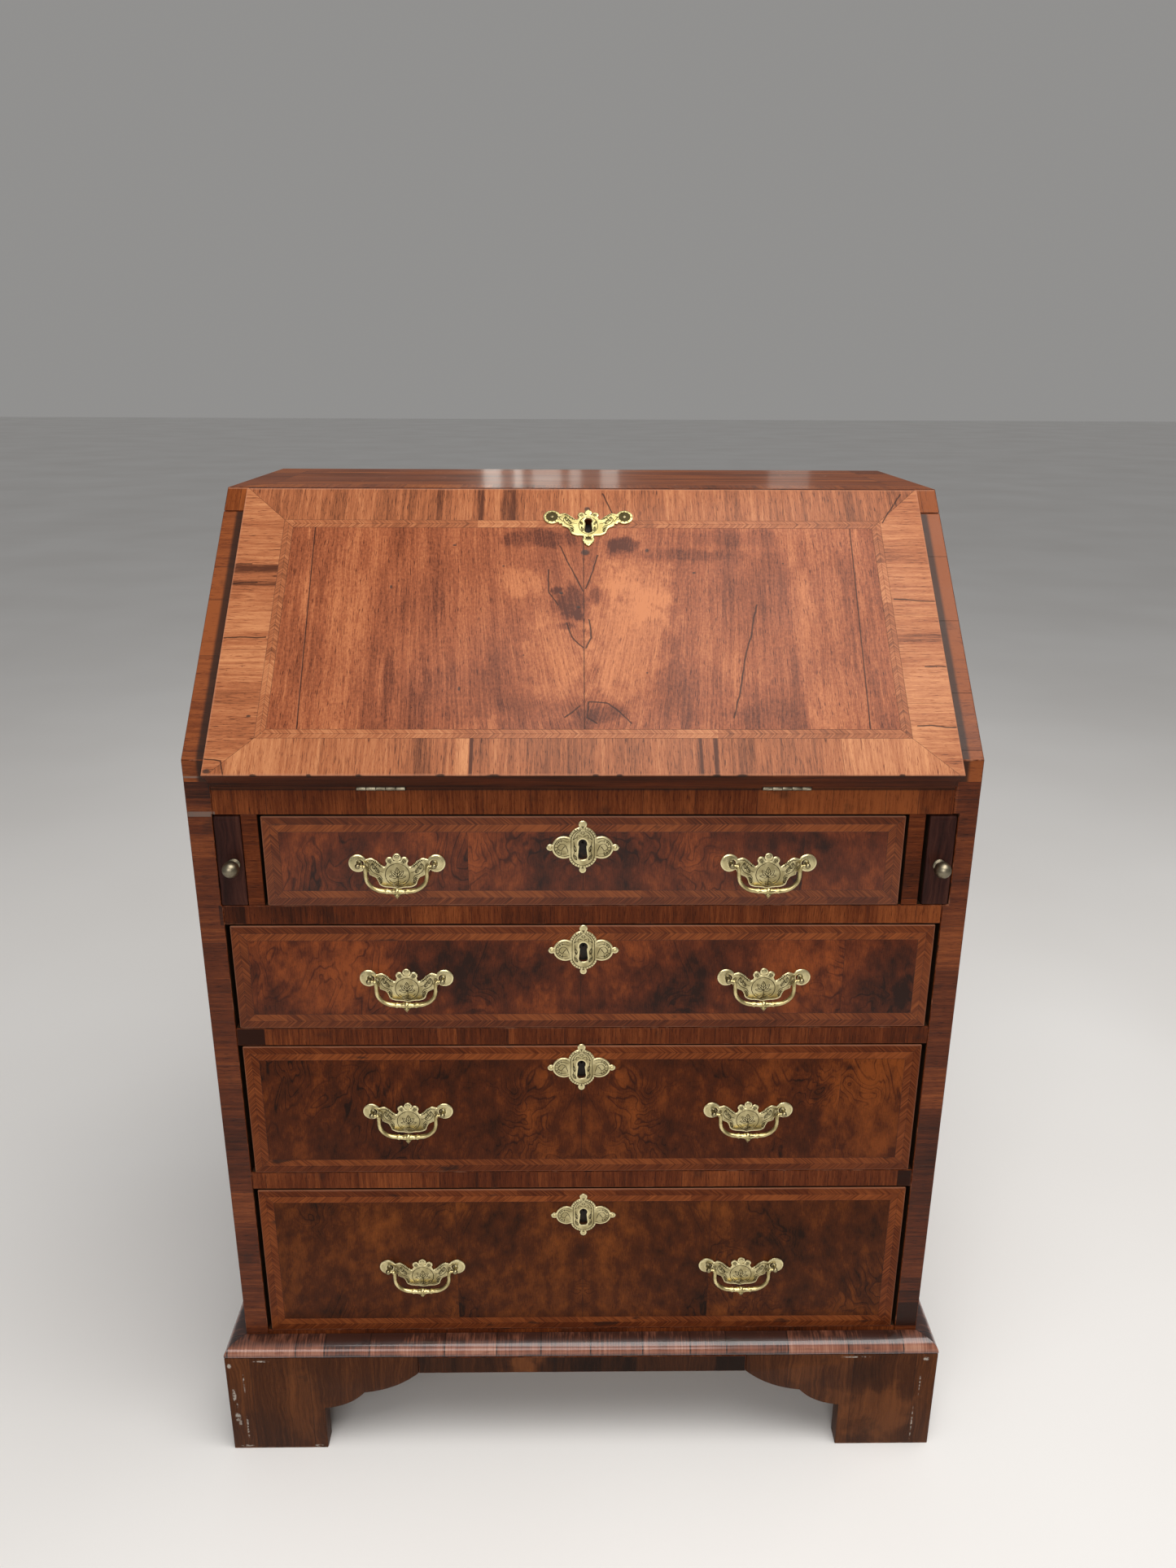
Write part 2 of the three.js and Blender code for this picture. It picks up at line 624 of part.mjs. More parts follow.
// The fall's escutcheon is a bat-wing with a third tab below and a keyhole that is round at both ends.
function fallEscutcheon() {
  const tab = polygon([[-5.4, -10], [-4.6, -20], [0, -25.4], [4.6, -20], [5.4, -10]]);
  const wings = batwing().map((part) => part.scale(1, FALL_PLATE_HEIGHT, 1));
  const plate = join(...wings, prism(tab, PLATE_THICKNESS));
  return cut(plate, ...keyhole(4.1, 2.4, 4.1, -12).map((tool) => tool.translate(0, 6.4, 0)));
}

fall.add(
  fallBoard(),
  fallLeaf('hinge_left_fall_leaf', -HINGE_X),
  fallLeaf('hinge_right_fall_leaf', HINGE_X),
);
const fallLockPlate = piece('fall_escutcheon', fallEscutcheon(), BRASS);
fallLockPlate.position.set(FALL_LOCK.x, FALL_LOCK.alongFall, FALL_THICKNESS + GAP);
fall.add(fallLockPlate);
desk.add(fall);

// ---------------------------------------------------------------- lopers

function loper(side, hand) {
  const xs = LOPERS[side].sides;
  const front = FRONT_Y - LOPER_PROUD;
  const back = FRONT_Y + LOPER_LENGTH;
  const bottom = RAILS[2].top + LOPER_BOTTOM_PLAY;
  const top = FALL_RAIL.bottom - LOPER_TOP_PLAY;
  const outline = new THREE.Shape();
  outline.moveTo(front, bottom);
  outline.lineTo(back, bottom);
  outline.lineTo(back, top);
  outline.lineTo(front + LOPER_NOSE, top);
  outline.quadraticCurveTo(front, top, front, top - LOPER_NOSE);
  const [x0, x1] = hand > 0 ? xs : xs.map((x) => -x).reverse();
  return piece(`loper_${side}`, alongX(outline, x0, x1), CASE_WALNUT);
}

// A turned ball knob on a thin round rose, standing out along +Z.
function knob(name) {
  const bottom = GAP;
  const top = KNOB_PROJECTION - LOPER_PROUD;
  const profile = [
    [0, bottom], [5.6, bottom], [5.6, bottom + 1.4], [3, bottom + 2.6], [2.6, bottom + 4.6],
    [5.6, bottom + 6.6], [7.6, top - 9.6], [7.9, top - 7.2], [7, top - 3.6], [4.2, top - 0.9], [0, top],
  ];
  const points = profile.map(([radius, height]) => new THREE.Vector2(radius, height));
  return piece(name, new THREE.LatheGeometry(points, 16).rotateX(Math.PI / 2), AGED_BRASS);
}

for (const [side, hand] of [['left', -1], ['right', 1]]) {
  const { knobX, knobZ } = LOPERS[side];
  const frame = frontFrame(knobX, FRONT_Y - LOPER_PROUD, knobZ);
  frame.add(knob(`loper_knob_${side}`));
  desk.add(loper(side, hand), frame);
}

// ---------------------------------------------------------------- drawers

function drawerFront(name, { halfWidth, bottom, top }) {
  const faceY = FRONT_Y - DRAWER_PROUD;
  const depth = [faceY, faceY + DRAWER_FRONT_THICKNESS];
  return piece(name, block([-halfWidth, halfWidth], depth, [bottom, top]), DRAWER_WALNUT);
}

// Two sides, a back and a bottom held in their grooves, open at the top.
function drawerBox(name, { halfWidth, bottom, top }) {
  const half = halfWidth - DRAWER_SIDE_INSET;
  const startY = FRONT_Y - DRAWER_PROUD + DRAWER_FRONT_THICKNESS + GAP;
  const endY = startY + DRAWER_BOX_LENGTH;
  const heights = [bottom, top - DRAWER_SIDE_DROP];
  const inner = half - DRAWER_SIDE_THICKNESS;
  const housed = [-inner - OVERLAP, inner + OVERLAP];
  const floor = bottom + DRAWER_RUNNER_DEPTH;
  const box = join(
    block([-half, -inner], [startY, endY], heights),
    block([inner, half], [startY, endY], heights),
    block(housed, [endY - DRAWER_BACK_THICKNESS, endY], [floor, heights[1]]),
    block(housed, [startY, endY - OVERLAP], [floor, floor + DRAWER_BOTTOM_THICKNESS]),
  );
  return piece(name, box, OAK);
}

DRAWERS.forEach((drawer, index) => {
  const name = `drawer_${index + 1}`;
  const faceY = FRONT_Y - DRAWER_PROUD - GAP;
  desk.add(drawerFront(`${name}_front`, drawer), drawerBox(`${name}_box`, drawer));

  const [lockX, lockZ] = drawer.lock;
  const lockFrame = frontFrame(lockX, faceY, lockZ);
  lockFrame.add(piece(`${name}_escutcheon`, drawerEscutcheon(), BRASS));
  desk.add(lockFrame);

  ['left', 'right'].forEach((side, sideIndex) => {
    const x = drawer.handlesX[sideIndex];
    const plateFrame = frontFrame(x, faceY, drawer.pivotZ - POST_RISE);
    plateFrame.add(piece(`${name}_plate_${side}`, handlePlate(), BRASS));
    const bailFrame = frontFrame(x, faceY - PIVOT_DISTANCE, drawer.pivotZ);
    bailFrame.add(piece(`${name}_bail_${side}`, bail(), BRASS));
    desk.add(plateFrame, bailFrame);
  });
});

export default desk;
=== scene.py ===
import json
import math
import random

import bmesh
import bpy
import numpy as np
from mathutils import Matrix, Vector
from mathutils.geometry import delaunay_2d_cdt


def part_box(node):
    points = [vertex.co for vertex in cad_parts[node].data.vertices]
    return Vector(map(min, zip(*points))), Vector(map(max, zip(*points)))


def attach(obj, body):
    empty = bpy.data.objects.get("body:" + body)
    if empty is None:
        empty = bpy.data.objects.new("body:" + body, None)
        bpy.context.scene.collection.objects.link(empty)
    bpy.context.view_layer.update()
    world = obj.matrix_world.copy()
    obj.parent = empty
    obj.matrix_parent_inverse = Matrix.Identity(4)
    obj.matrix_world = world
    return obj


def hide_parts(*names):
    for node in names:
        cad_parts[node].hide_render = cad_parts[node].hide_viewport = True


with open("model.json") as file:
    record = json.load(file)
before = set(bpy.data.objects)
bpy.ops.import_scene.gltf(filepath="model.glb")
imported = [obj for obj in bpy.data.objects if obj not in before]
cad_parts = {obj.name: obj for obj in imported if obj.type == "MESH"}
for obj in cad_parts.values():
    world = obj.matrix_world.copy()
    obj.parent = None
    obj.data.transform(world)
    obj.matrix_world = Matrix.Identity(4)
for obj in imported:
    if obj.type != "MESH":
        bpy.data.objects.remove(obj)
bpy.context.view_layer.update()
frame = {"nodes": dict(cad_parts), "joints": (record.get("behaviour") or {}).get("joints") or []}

MM = 0.001
JOINTS = {joint["name"]: joint for joint in frame["joints"]}
SIDES = (("left", -1), ("right", 1))
DRAWER_COUNT = 4

# ------------------------------------------------------------------ places taken from the frame

case_lo, case_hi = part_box("side_left")
FRONT_Y = case_lo.y
BACK_Y = case_hi.y
HALF_WIDTH = -case_lo.x
INNER_HALF = -case_hi.x
TOP_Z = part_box("top_board")[1].z
HINGE = Vector(JOINTS["fall_hinge"]["pos_m"])
VENEER = 1.4 * MM

fall_normal = max(
    (face for face in frame["nodes"]["fall_board"].data.polygons if face.normal.z > 0.3),
    key=lambda face: face.area,
).normal
SLOPE = math.atan2(-fall_normal.y, fall_normal.z)
FALL_FRAME = Matrix.Translation(HINGE) @ Matrix.Rotation(SLOPE, 4, "X")


def in_fall_frame(node):
    """The node's vertices seen from the hinge: across, up the slope, and out from the inner face."""
    return [FALL_FRAME.inverted() @ vertex.co for vertex in frame["nodes"][node].data.vertices]


fall_points = in_fall_frame("fall_board")
FALL_THICKNESS = max(point.z for point in fall_points)
FALL_HALF_WIDTH = max(point.x for point in fall_points)
FALL_FACE_TOP = max(point.y for point in fall_points if point.z > FALL_THICKNESS - MM)

# how far the slanted edges of the case stand out from the fall's inner face
EDGE_OFFSET = max(point.z for point in in_fall_frame("side_left"))
TOP_FRONT_Y = min(
    vertex.co.y for vertex in frame["nodes"]["top_board"].data.vertices if vertex.co.z > TOP_Z - 0.1 * MM
)

# ------------------------------------------------------------------ node graphs


class Value:
    """An output socket that takes part in arithmetic."""

    def __init__(self, graph, socket):
        self.graph = graph
        self.socket = socket

    def __add__(self, other):
        return self.graph.math("ADD", self, other)

    def __sub__(self, other):
        return self.graph.math("SUBTRACT", self, other)

    def __rsub__(self, other):
        return self.graph.math("SUBTRACT", other, self)

    def __mul__(self, other):
        return self.graph.math("MULTIPLY", self, other)

    def __truediv__(self, other):
        return self.graph.math("DIVIDE", self, other)

    def __abs__(self):
        return self.graph.math("ABSOLUTE", self)

    __radd__ = __add__
    __rmul__ = __mul__


class Graph:
    """Builds one material's node tree. Inputs are numbers, colours or Values."""

    def __init__(self, name):
        self.material = bpy.data.materials.new(name)
        self.material.use_nodes = True
        self.tree = self.material.node_tree
        self.tree.nodes.clear()

    def feed(self, socket, value):
        if isinstance(value, Value):
            self.tree.links.new(value.socket, socket)
        elif isinstance(value, tuple) and len(value) == 3 and socket.type == "RGBA":
            socket.default_value = (*value, 1)
        else:
            socket.default_value = value

    def node(self, kind, inputs, **settings):
        node = self.tree.nodes.new("ShaderNode" + kind)
        for key, value in settings.items():
            setattr(node, key, value)
        for key, value in inputs.items():
            self.feed(node.inputs[key], value)
        return node

    def value(self, node, output=0):
        return Value(self, node.outputs[output])

    def math(self, operation, *values):
        inputs = dict(enumerate(values))
        return self.value(self.node("Math", inputs, operation=operation))

    def least(self, a, b):
        return self.math("MINIMUM", a, b)

    def most(self, a, b):
        return self.math("MAXIMUM", a, b)

    def above(self, value, edge):
        return self.math("GREATER_THAN", value, edge)

    def where(self, mask, a, b):
        """a where the mask is 1, b where it is 0."""
        inputs = {0: mask, 2: b, 3: a}
        return self.value(self.node("Mix", inputs, data_type="FLOAT"))

    def ease(self, value, start, end):
        """Runs smoothly from 0 to 1 as the value goes from start to end."""
        inputs = {"Value": value, "From Min": start, "From Max": end}
        return self.value(self.node("MapRange", inputs, interpolation_type="SMOOTHSTEP"))

    def blend(self, mask, a, b):
        """Colour a, going over to b where the mask is 1."""
        inputs = {0: mask, 6: a, 7: b}
        return self.value(self.node("Mix", inputs, data_type="RGBA"), 2)

    def point(self, x, y, z=0.0):
        return self.value(self.node("CombineXYZ", {0: x, 1: y, 2: z}))

    def split(self, vector):
        node = self.node("SeparateXYZ", {0: vector})
        return [self.value(node, axis) for axis in range(3)]

    def place(self):
        """The point's coordinates in its object, in metres."""
        node = self.node("TexCoord", {})
        return self.split(self.value(node, 3))

    def noise(self, x, y, z=0.0, detail=2.0, rough=0.5):
        inputs = {"Vector": self.point(x, y, z), "Scale": 1.0, "Detail": detail, "Roughness": rough}
        return self.value(self.node("TexNoise", inputs))

    def cells(self, along, length):
        """Splits a line into uneven lengths: a random number for each, and the distance to its end."""
        inputs = {"W": along / length, "Scale": 1.0}
        colour = self.value(self.node("TexVoronoi", inputs, voronoi_dimensions="1D"), 1)
        edge = self.node("TexVoronoi", inputs, voronoi_dimensions="1D", feature="DISTANCE_TO_EDGE")
        return self.split(colour)[0], self.value(edge) * length

    def ramp(self, value, *stops):
        node = self.node("ValToRGB", {0: value})
        elements = node.color_ramp.elements
        while len(elements) < len(stops):
            elements.new(1.0)
        for element, (position, colour) in zip(elements, stops):
            element.position = position
            element.color = (*colour, 1)
        return self.value(node)

    def attribute(self, name):
        return self.value(self.node("Attribute", {}, attribute_name=name), 2)

    def finish(self, colour, roughness, height=None, depth=0.0, **shader):
        """Adds the shader. Height is 0 to 1 over the depth; other settings go on its own sockets."""
        inputs = {"Base Color": colour, "Roughness": roughness}
        inputs.update({key.replace("_", " "): value for key, value in shader.items()})
        if height is not None:
            bump = self.node("Bump", {"Height": height, "Distance": depth, "Strength": 1.0})
            inputs["Normal"] = self.value(bump)
        shader_node = self.node("BsdfPrincipled", inputs)
        output = self.node("OutputMaterial", {})
        self.tree.links.new(shader_node.outputs[0], output.inputs[0])
        return self.material


# ------------------------------------------------------------------ walnut

# dark, middle and light colours of each walnut
FALL_TONES = ((0.072, 0.0165, 0.0066), (0.262, 0.0725, 0.0285), (0.472, 0.17, 0.068))
BAND_TONES = ((0.076, 0.0225, 0.0102), (0.318, 0.103, 0.041), (0.535, 0.234, 0.102))
DRAWER_TONES = ((0.0163, 0.0051, 0.00253), (0.0777, 0.0177, 0.00575), (0.2, 0.0517, 0.0129))
CASE_TONES = ((0.02, 0.005, 0.0018), (0.0884, 0.0186, 0.0046), (0.212, 0.056, 0.0135))
FOOT_TONES = ((0.011, 0.0045, 0.00228), (0.0523, 0.016, 0.00532), (0.132, 0.0425, 0.0122))
TOP_TONES = ((0.033, 0.0085, 0.0024), (0.142, 0.0329, 0.0068), (0.3, 0.086, 0.017))
MOULDING_TONES = ((0.045, 0.015, 0.009), (0.27, 0.088, 0.045), (0.54, 0.26, 0.16))
LOPER_TONES = ((0.0084, 0.0033, 0.0025), (0.028, 0.0088, 0.0065), (0.063, 0.0209, 0.013))
POLISH = {"Coat_Weight": 0.02, "Coat_Roughness": 0.18, "Specular_IOR_Level": 0.07}
FALL_POLISH = {"Coat_Weight": 0.05, "Coat_Roughness": 0.2, "Specular_IOR_Level": 0.15}
TOP_POLISH = {"Coat_Weight": 0.08, "Coat_Roughness": 0.15, "Specular_IOR_Level": 0.04}
MOULDING_POLISH = {
    "Coat_Weight": 0.7, "Coat_Roughness": 0.1, "Coat_Tint": (0.8, 0.9, 1.0), "Specular_IOR_Level": 0.3,
}


def grain(g, along, across, seed, figure=0.0, streak=1.0, stripe=1.25, dash=0.0):
    """Walnut whose fibres run along one way: its tone, about 0 to 1, and its fine relief.

    figure bends the grain, streak and stripe are its fine and broad contrast, and dash darkens
    scattered long pores."""
    if figure:
        curl = g.noise(along * 16, across * 22, seed, detail=1.5)
        ripple = g.noise(along * 48, across * 60, seed, detail=1.0)
        across = across + (curl - 0.5) * figure + (ripple - 0.5) * (figure * 0.22)
    broad = g.noise(along * 3.2, across * 42, seed, detail=2.0)
    lines = g.noise(along * 13, across * 330, seed, detail=2.5, rough=0.6)
    fibre = g.noise(along * 95, across * 2100, seed, detail=1.0)
    pores = g.ease(g.noise(along * 330, across * 2500, seed, detail=0.0), 0.66, 0.78)
    tone = 0.5 + (broad - 0.5) * stripe + (lines - 0.5) * streak + (fibre - 0.5) * 0.45 - pores * 0.22
    if dash:
        long_pores = g.ease(g.noise(along * 85, across * 1150, seed + 3.0, detail=1.0), 0.60, 0.72)
        tone = tone - long_pores * dash
    relief = fibre * 0.6 - pores
    return tone, relief


def ramp_of(g, tone, tones):
    dark, middle, light = tones
    return g.ramp(tone, (0.08, dark), (0.5, middle), (0.92, light))


def length_of(g, x, y):
    return g.math("SQRT", x * x + y * y)


def spot(g, x, y, ragged, centre, radii):
    """1 in the middle of an uneven oval mark, 0 outside it."""
    dx = (x - centre[0] * MM) / (radii[0] * MM)
    dy = (y - centre[1] * MM) / (radii[1] * MM)
    return g.ease(length_of(g, dx, dy) + ragged, 1.15, 0.5)


def total(g, x, y, ragged, marks):
    """Sum of the marks' amounts at a point; a mark is (x, y, radius x, radius y, amount)."""
    amount = None
    for mark_x, mark_y, radius_x, radius_y, strength in marks:
        one = spot(g, x, y, ragged, (mark_x, mark_y), (radius_x, radius_y)) * strength
        amount = one if amount is None else amount + one
    return amount


def crack(g, x, y, wobble, start, end, width=0.35):
    """1 on a thin wandering line between two points, in mm."""
    (x0, y0), (x1, y1) = start, end
    length = math.hypot(x1 - x0, y1 - y0)
    ux, uy = (x1 - x0) / length, (y1 - y0) / length
    dx = x - x0 * MM
    dy = y - y0 * MM
    along = dx * ux + dy * uy
    aside = dy * ux - dx * uy + wobble * MM
    on_line = g.ease(abs(aside), width * MM, width * 0.35 * MM)
    within = g.above(along, 0.0) * g.above(length * MM, along)
    return on_line * within


def union(g, masks):
    whole = masks[0]
    for mask in masks[1:]:
        whole = g.most(whole, mask)
    return whole


def line_at(g, distance, place, width=0.32):
    """1 on the glue line at that distance."""
    return g.ease(abs(distance - place * MM), width * MM, width * 0.4 * MM)


def crossband(g, along, across, seed, segment=38.0, variety=0.3):
    """Short lengths of veneer side by side with their grain across the band.

    Gives the tone, the relief, and 1 on the joints between lengths. Most lengths are much alike and
    a few are far darker or lighter."""
    shade, edge = g.cells(along + seed * 0.37, segment * MM)
    tone, relief = grain(g, across, along + shade * 0.9, seed, streak=0.8, stripe=0.5, dash=0.34)
    joint = g.ease(edge, 0.35 * MM, 0.1 * MM)
    off = shade - 0.5
    return tone + off * variety + off * off * off * (variety * 6), relief, joint


def burr(g, along, across, seed):
    """Figured walnut: soft mottling with dark veins that curl in patches. Its tone and relief."""
    bend = g.noise(along * 11, across * 13, seed, detail=1.5)
    swirl = g.noise(along * 12 + bend * 1.6, across * 20 - bend * 1.2, seed + 5.0, detail=3.0, rough=0.42)
    level = g.math("FRACT", swirl * 17)
    veins = g.ease(abs(level - 0.5), 0.16, 0.0)
    patches = g.ease(g.noise(along * 9, across * 10, seed + 7.0, detail=2.0), 0.44, 0.62)
    mottle = g.noise(along * 42, across * 70, seed, detail=4.0, rough=0.62)
    broad = g.noise(along * 7, across * 15, seed + 2.0, detail=2.0)
    fibre = g.noise(along * 120, across * 1500, seed, detail=1.0)
    pores = g.ease(g.noise(along * 420, across * 2300, seed, detail=0.0), 0.64, 0.78)
    tone = 0.5 + (broad - 0.5) * 0.95 + (mottle - 0.5) * 1.2 + (level - 0.5) * patches * 0.12
    tone = tone + (fibre - 0.5) * 0.4 - pores * 0.24 - veins * patches * 0.32
    return tone, fibre * 0.5 - pores


def wear_pits(g, x, y, z=0.0):
    """Small dents and dark specks, 1 at each."""
    inputs = {"Vector": g.point(x * 62, y * 62, z * 62), "Scale": 1.0}
    node = g.node("TexVoronoi", inputs)
    size = g.split(g.value(node, 1))[0]
    return g.ease(g.value(node, 0), size * 0.055, size * 0.02) * g.above(size, 0.45)


GLUE_LINE = (0.022, 0.008, 0.005)
# near-black brown: the colour of dirt and pits, and also of the painted shade beside and under the fall
DIRT_AND_SHADE = (0.012, 0.007, 0.005)
WAX_FILL = (0.16, 0.13, 0.11)
WORN = (0.34, 0.155, 0.09)


def bare_wood(g, along, across, seed, tones):
    """Plain unpolished board, for the parts behind the veneer."""
    rings = g.noise(along * 2.5, across * 75, seed, detail=2.0, rough=0.6)
    fibre = g.noise(along * 40, across * 1100, seed, detail=1.0)
    blotch = g.noise(along * 9, across * 11, seed + 4.0, detail=2.0)
    tone = 0.5 + (rings - 0.5) * 1.1 + (fibre - 0.5) * 0.6 + (blotch - 0.5) * 0.7
    return ramp_of(g, tone, tones), fibre


def darkened_near_front(g, y, colour):
    """The colour of a board, darker where it comes near the front of the case."""
    return g.blend(g.ease(y - FRONT_Y, 30 * MM, 8 * MM) * 0.93, colour, DIRT_AND_SHADE)


OAK_TONES = ((0.10, 0.052, 0.023), (0.26, 0.155, 0.075), (0.40, 0.27, 0.145))
PINE_TONES = ((0.085, 0.040, 0.018), (0.22, 0.125, 0.060), (0.36, 0.225, 0.115))


def plain_board(name, axis_along, axis_across, tones, rough=0.68):
    """A board with its grain along one axis of the object: 0, 1 or 2 for X, Y or Z."""
    g = Graph(name)
    place = g.place()
    other = place[3 - axis_along - axis_across]
    colour, fibre = bare_wood(g, place[axis_along], place[axis_across] + other * 0.35, 1.0, tones)
    pits = wear_pits(g, *place)
    colour = darkened_near_front(g, place[1], g.blend(pits * 0.7, colour, DIRT_AND_SHADE))
    return g.finish(colour, fibre * 0.12 + (rough - 0.06), fibre - pits, 0.25 * MM)


# crossband and feather band round the fall: distances in from its outline, in mm
FALL_BAND = 43.6
FALL_FEATHER = 53.1
# marks on the fall: x, distance up the slope, radii, change of tone
FALL_STAINS = [
    (-14, 190, 18, 22, -0.45), (-26, 206, 8, 5, -0.4), (-5, 176, 6, 7, -0.45),
    (-16, 164, 10, 5, -0.35), (12, 200, 8, 12, -0.3), (38, 262, 20, 11, -0.5),
    (95, 250, 70, 9, -0.2), (-42, 272, 46, 13, -0.25), (150, 272, 60, 12, -0.12),
    (42, 150, 46, 84, 0.3), (60, 215, 36, 44, 0.24), (-30, 120, 36, 60, 0.25),
    (-104, 88, 60, 40, -0.12), (100, 84, 60, 40, -0.1), (22, 66, 26, 11, -0.22),
    (-150, 180, 12, 90, -0.12), (215, 150, 13, 120, 0.14), (-40, 60, 60, 30, -0.12),
    (265, 200, 14, 70, -0.14), (-235, 150, 20, 120, 0.1), (250, 80, 34, 50, 0.12),
    (-185, 100, 6, 40, -0.2), (-60, 215, 20, 26, 0.22), (170, 60, 40, 22, -0.1),
]
# dark filled holes: x, distance up the slope, radii
FALL_PLUGS = [
    (4, 309, 3.2, 3.0), (2, 253, 5.0, 4.0), (64, 256, 2.0, 2.6), (-22, 203, 2.6, 2.0),
    (-5, 186, 2.2, 1.6), (-312, 62, 2.2, 1.4), (-190, 210, 1.2, 2.4), (-130, 262, 2.0, 1.3),
    (-118, 92, 1.4, 2.6), (110, 228, 1.6, 1.4), (60, 110, 1.2, 1.0), (200, 240, 1.0, 1.0),
    (-80, 236, 1.3, 1.0), (-58, 130, 1.0, 0.8), (-343, 4, 4.5, 3.0),
]
# cracks, each between two points
FALL_CRACKS = [
    ((-1, 138), (-12, 152)), ((-12, 152), (-17, 168)), ((1, 138), (7, 150)), ((7, 150), (5, 172)),
    ((0, 205), (-17, 243)), ((-17, 243), (-24, 262)), ((2, 208), (14, 250)),
    ((-36, 232), (-34, 205)), ((-34, 205), (-25, 188)), ((4, 78), (22, 76)), ((22, 76), (34, 66)),
    ((34, 66), (44, 54)), ((4, 78), (2, 60)), ((-18, 60), (-4, 74)), ((2, 60), (12, 54)),
    ((-347, 214), (-322, 215)), ((-347, 150), (-306, 150)), ((-347, 238), (-330, 238)),
    ((306, 196), (347, 194)), ((326, 118), (347, 117)), ((310, 52), (347, 50)),
    ((170, 190), (140, 60)), ((306, 292), (330, 330)), ((20, 330), (32, 296)),
    ((-349, 17), (-331, 15)), ((-331, 15), (-327, 0)),
]
# streaks of dark heartwood in the crossbands: x, distance up the slope, radii, change of tone
BAND_STREAKS = [
    (-147, 322, 4, 90, -0.24), (-105, 322, 4, 90, -0.32), (-76, 322, 9, 90, -0.3),
    (-325, 232, 80, 6, -0.34), (-330, 214, 80, 3, -0.2), (-150, 24, 9, 90, -0.24),
    (-104, 24, 2, 90, -0.5), (-112, 24, 7, 90, 0.26), (106, 24, 3, 90, -0.3),
    (121, 24, 3, 90, -0.3), (-262, 322, 26, 90, -0.1), (60, 322, 30, 90, -0.12),
    (-325, 150, 60, 60, 0.26), (328, 250, 80, 10, -0.16), (328, 150, 80, 6, -0.2),
    (328, 80, 60, 50, 0.16), (0, 24, 70, 90, -0.1), (270, 24, 60, 90, 0.1),
]
# veneer lost along the lower edge of the fall: x and width
LOWER_LOSSES = [
    (-301, 7), (-250, 5), (-205, 7), (-131, 9), (-83, 14), (10, 6), (32, 6), (120, 8), (143, 13),
    (290, 6),
]


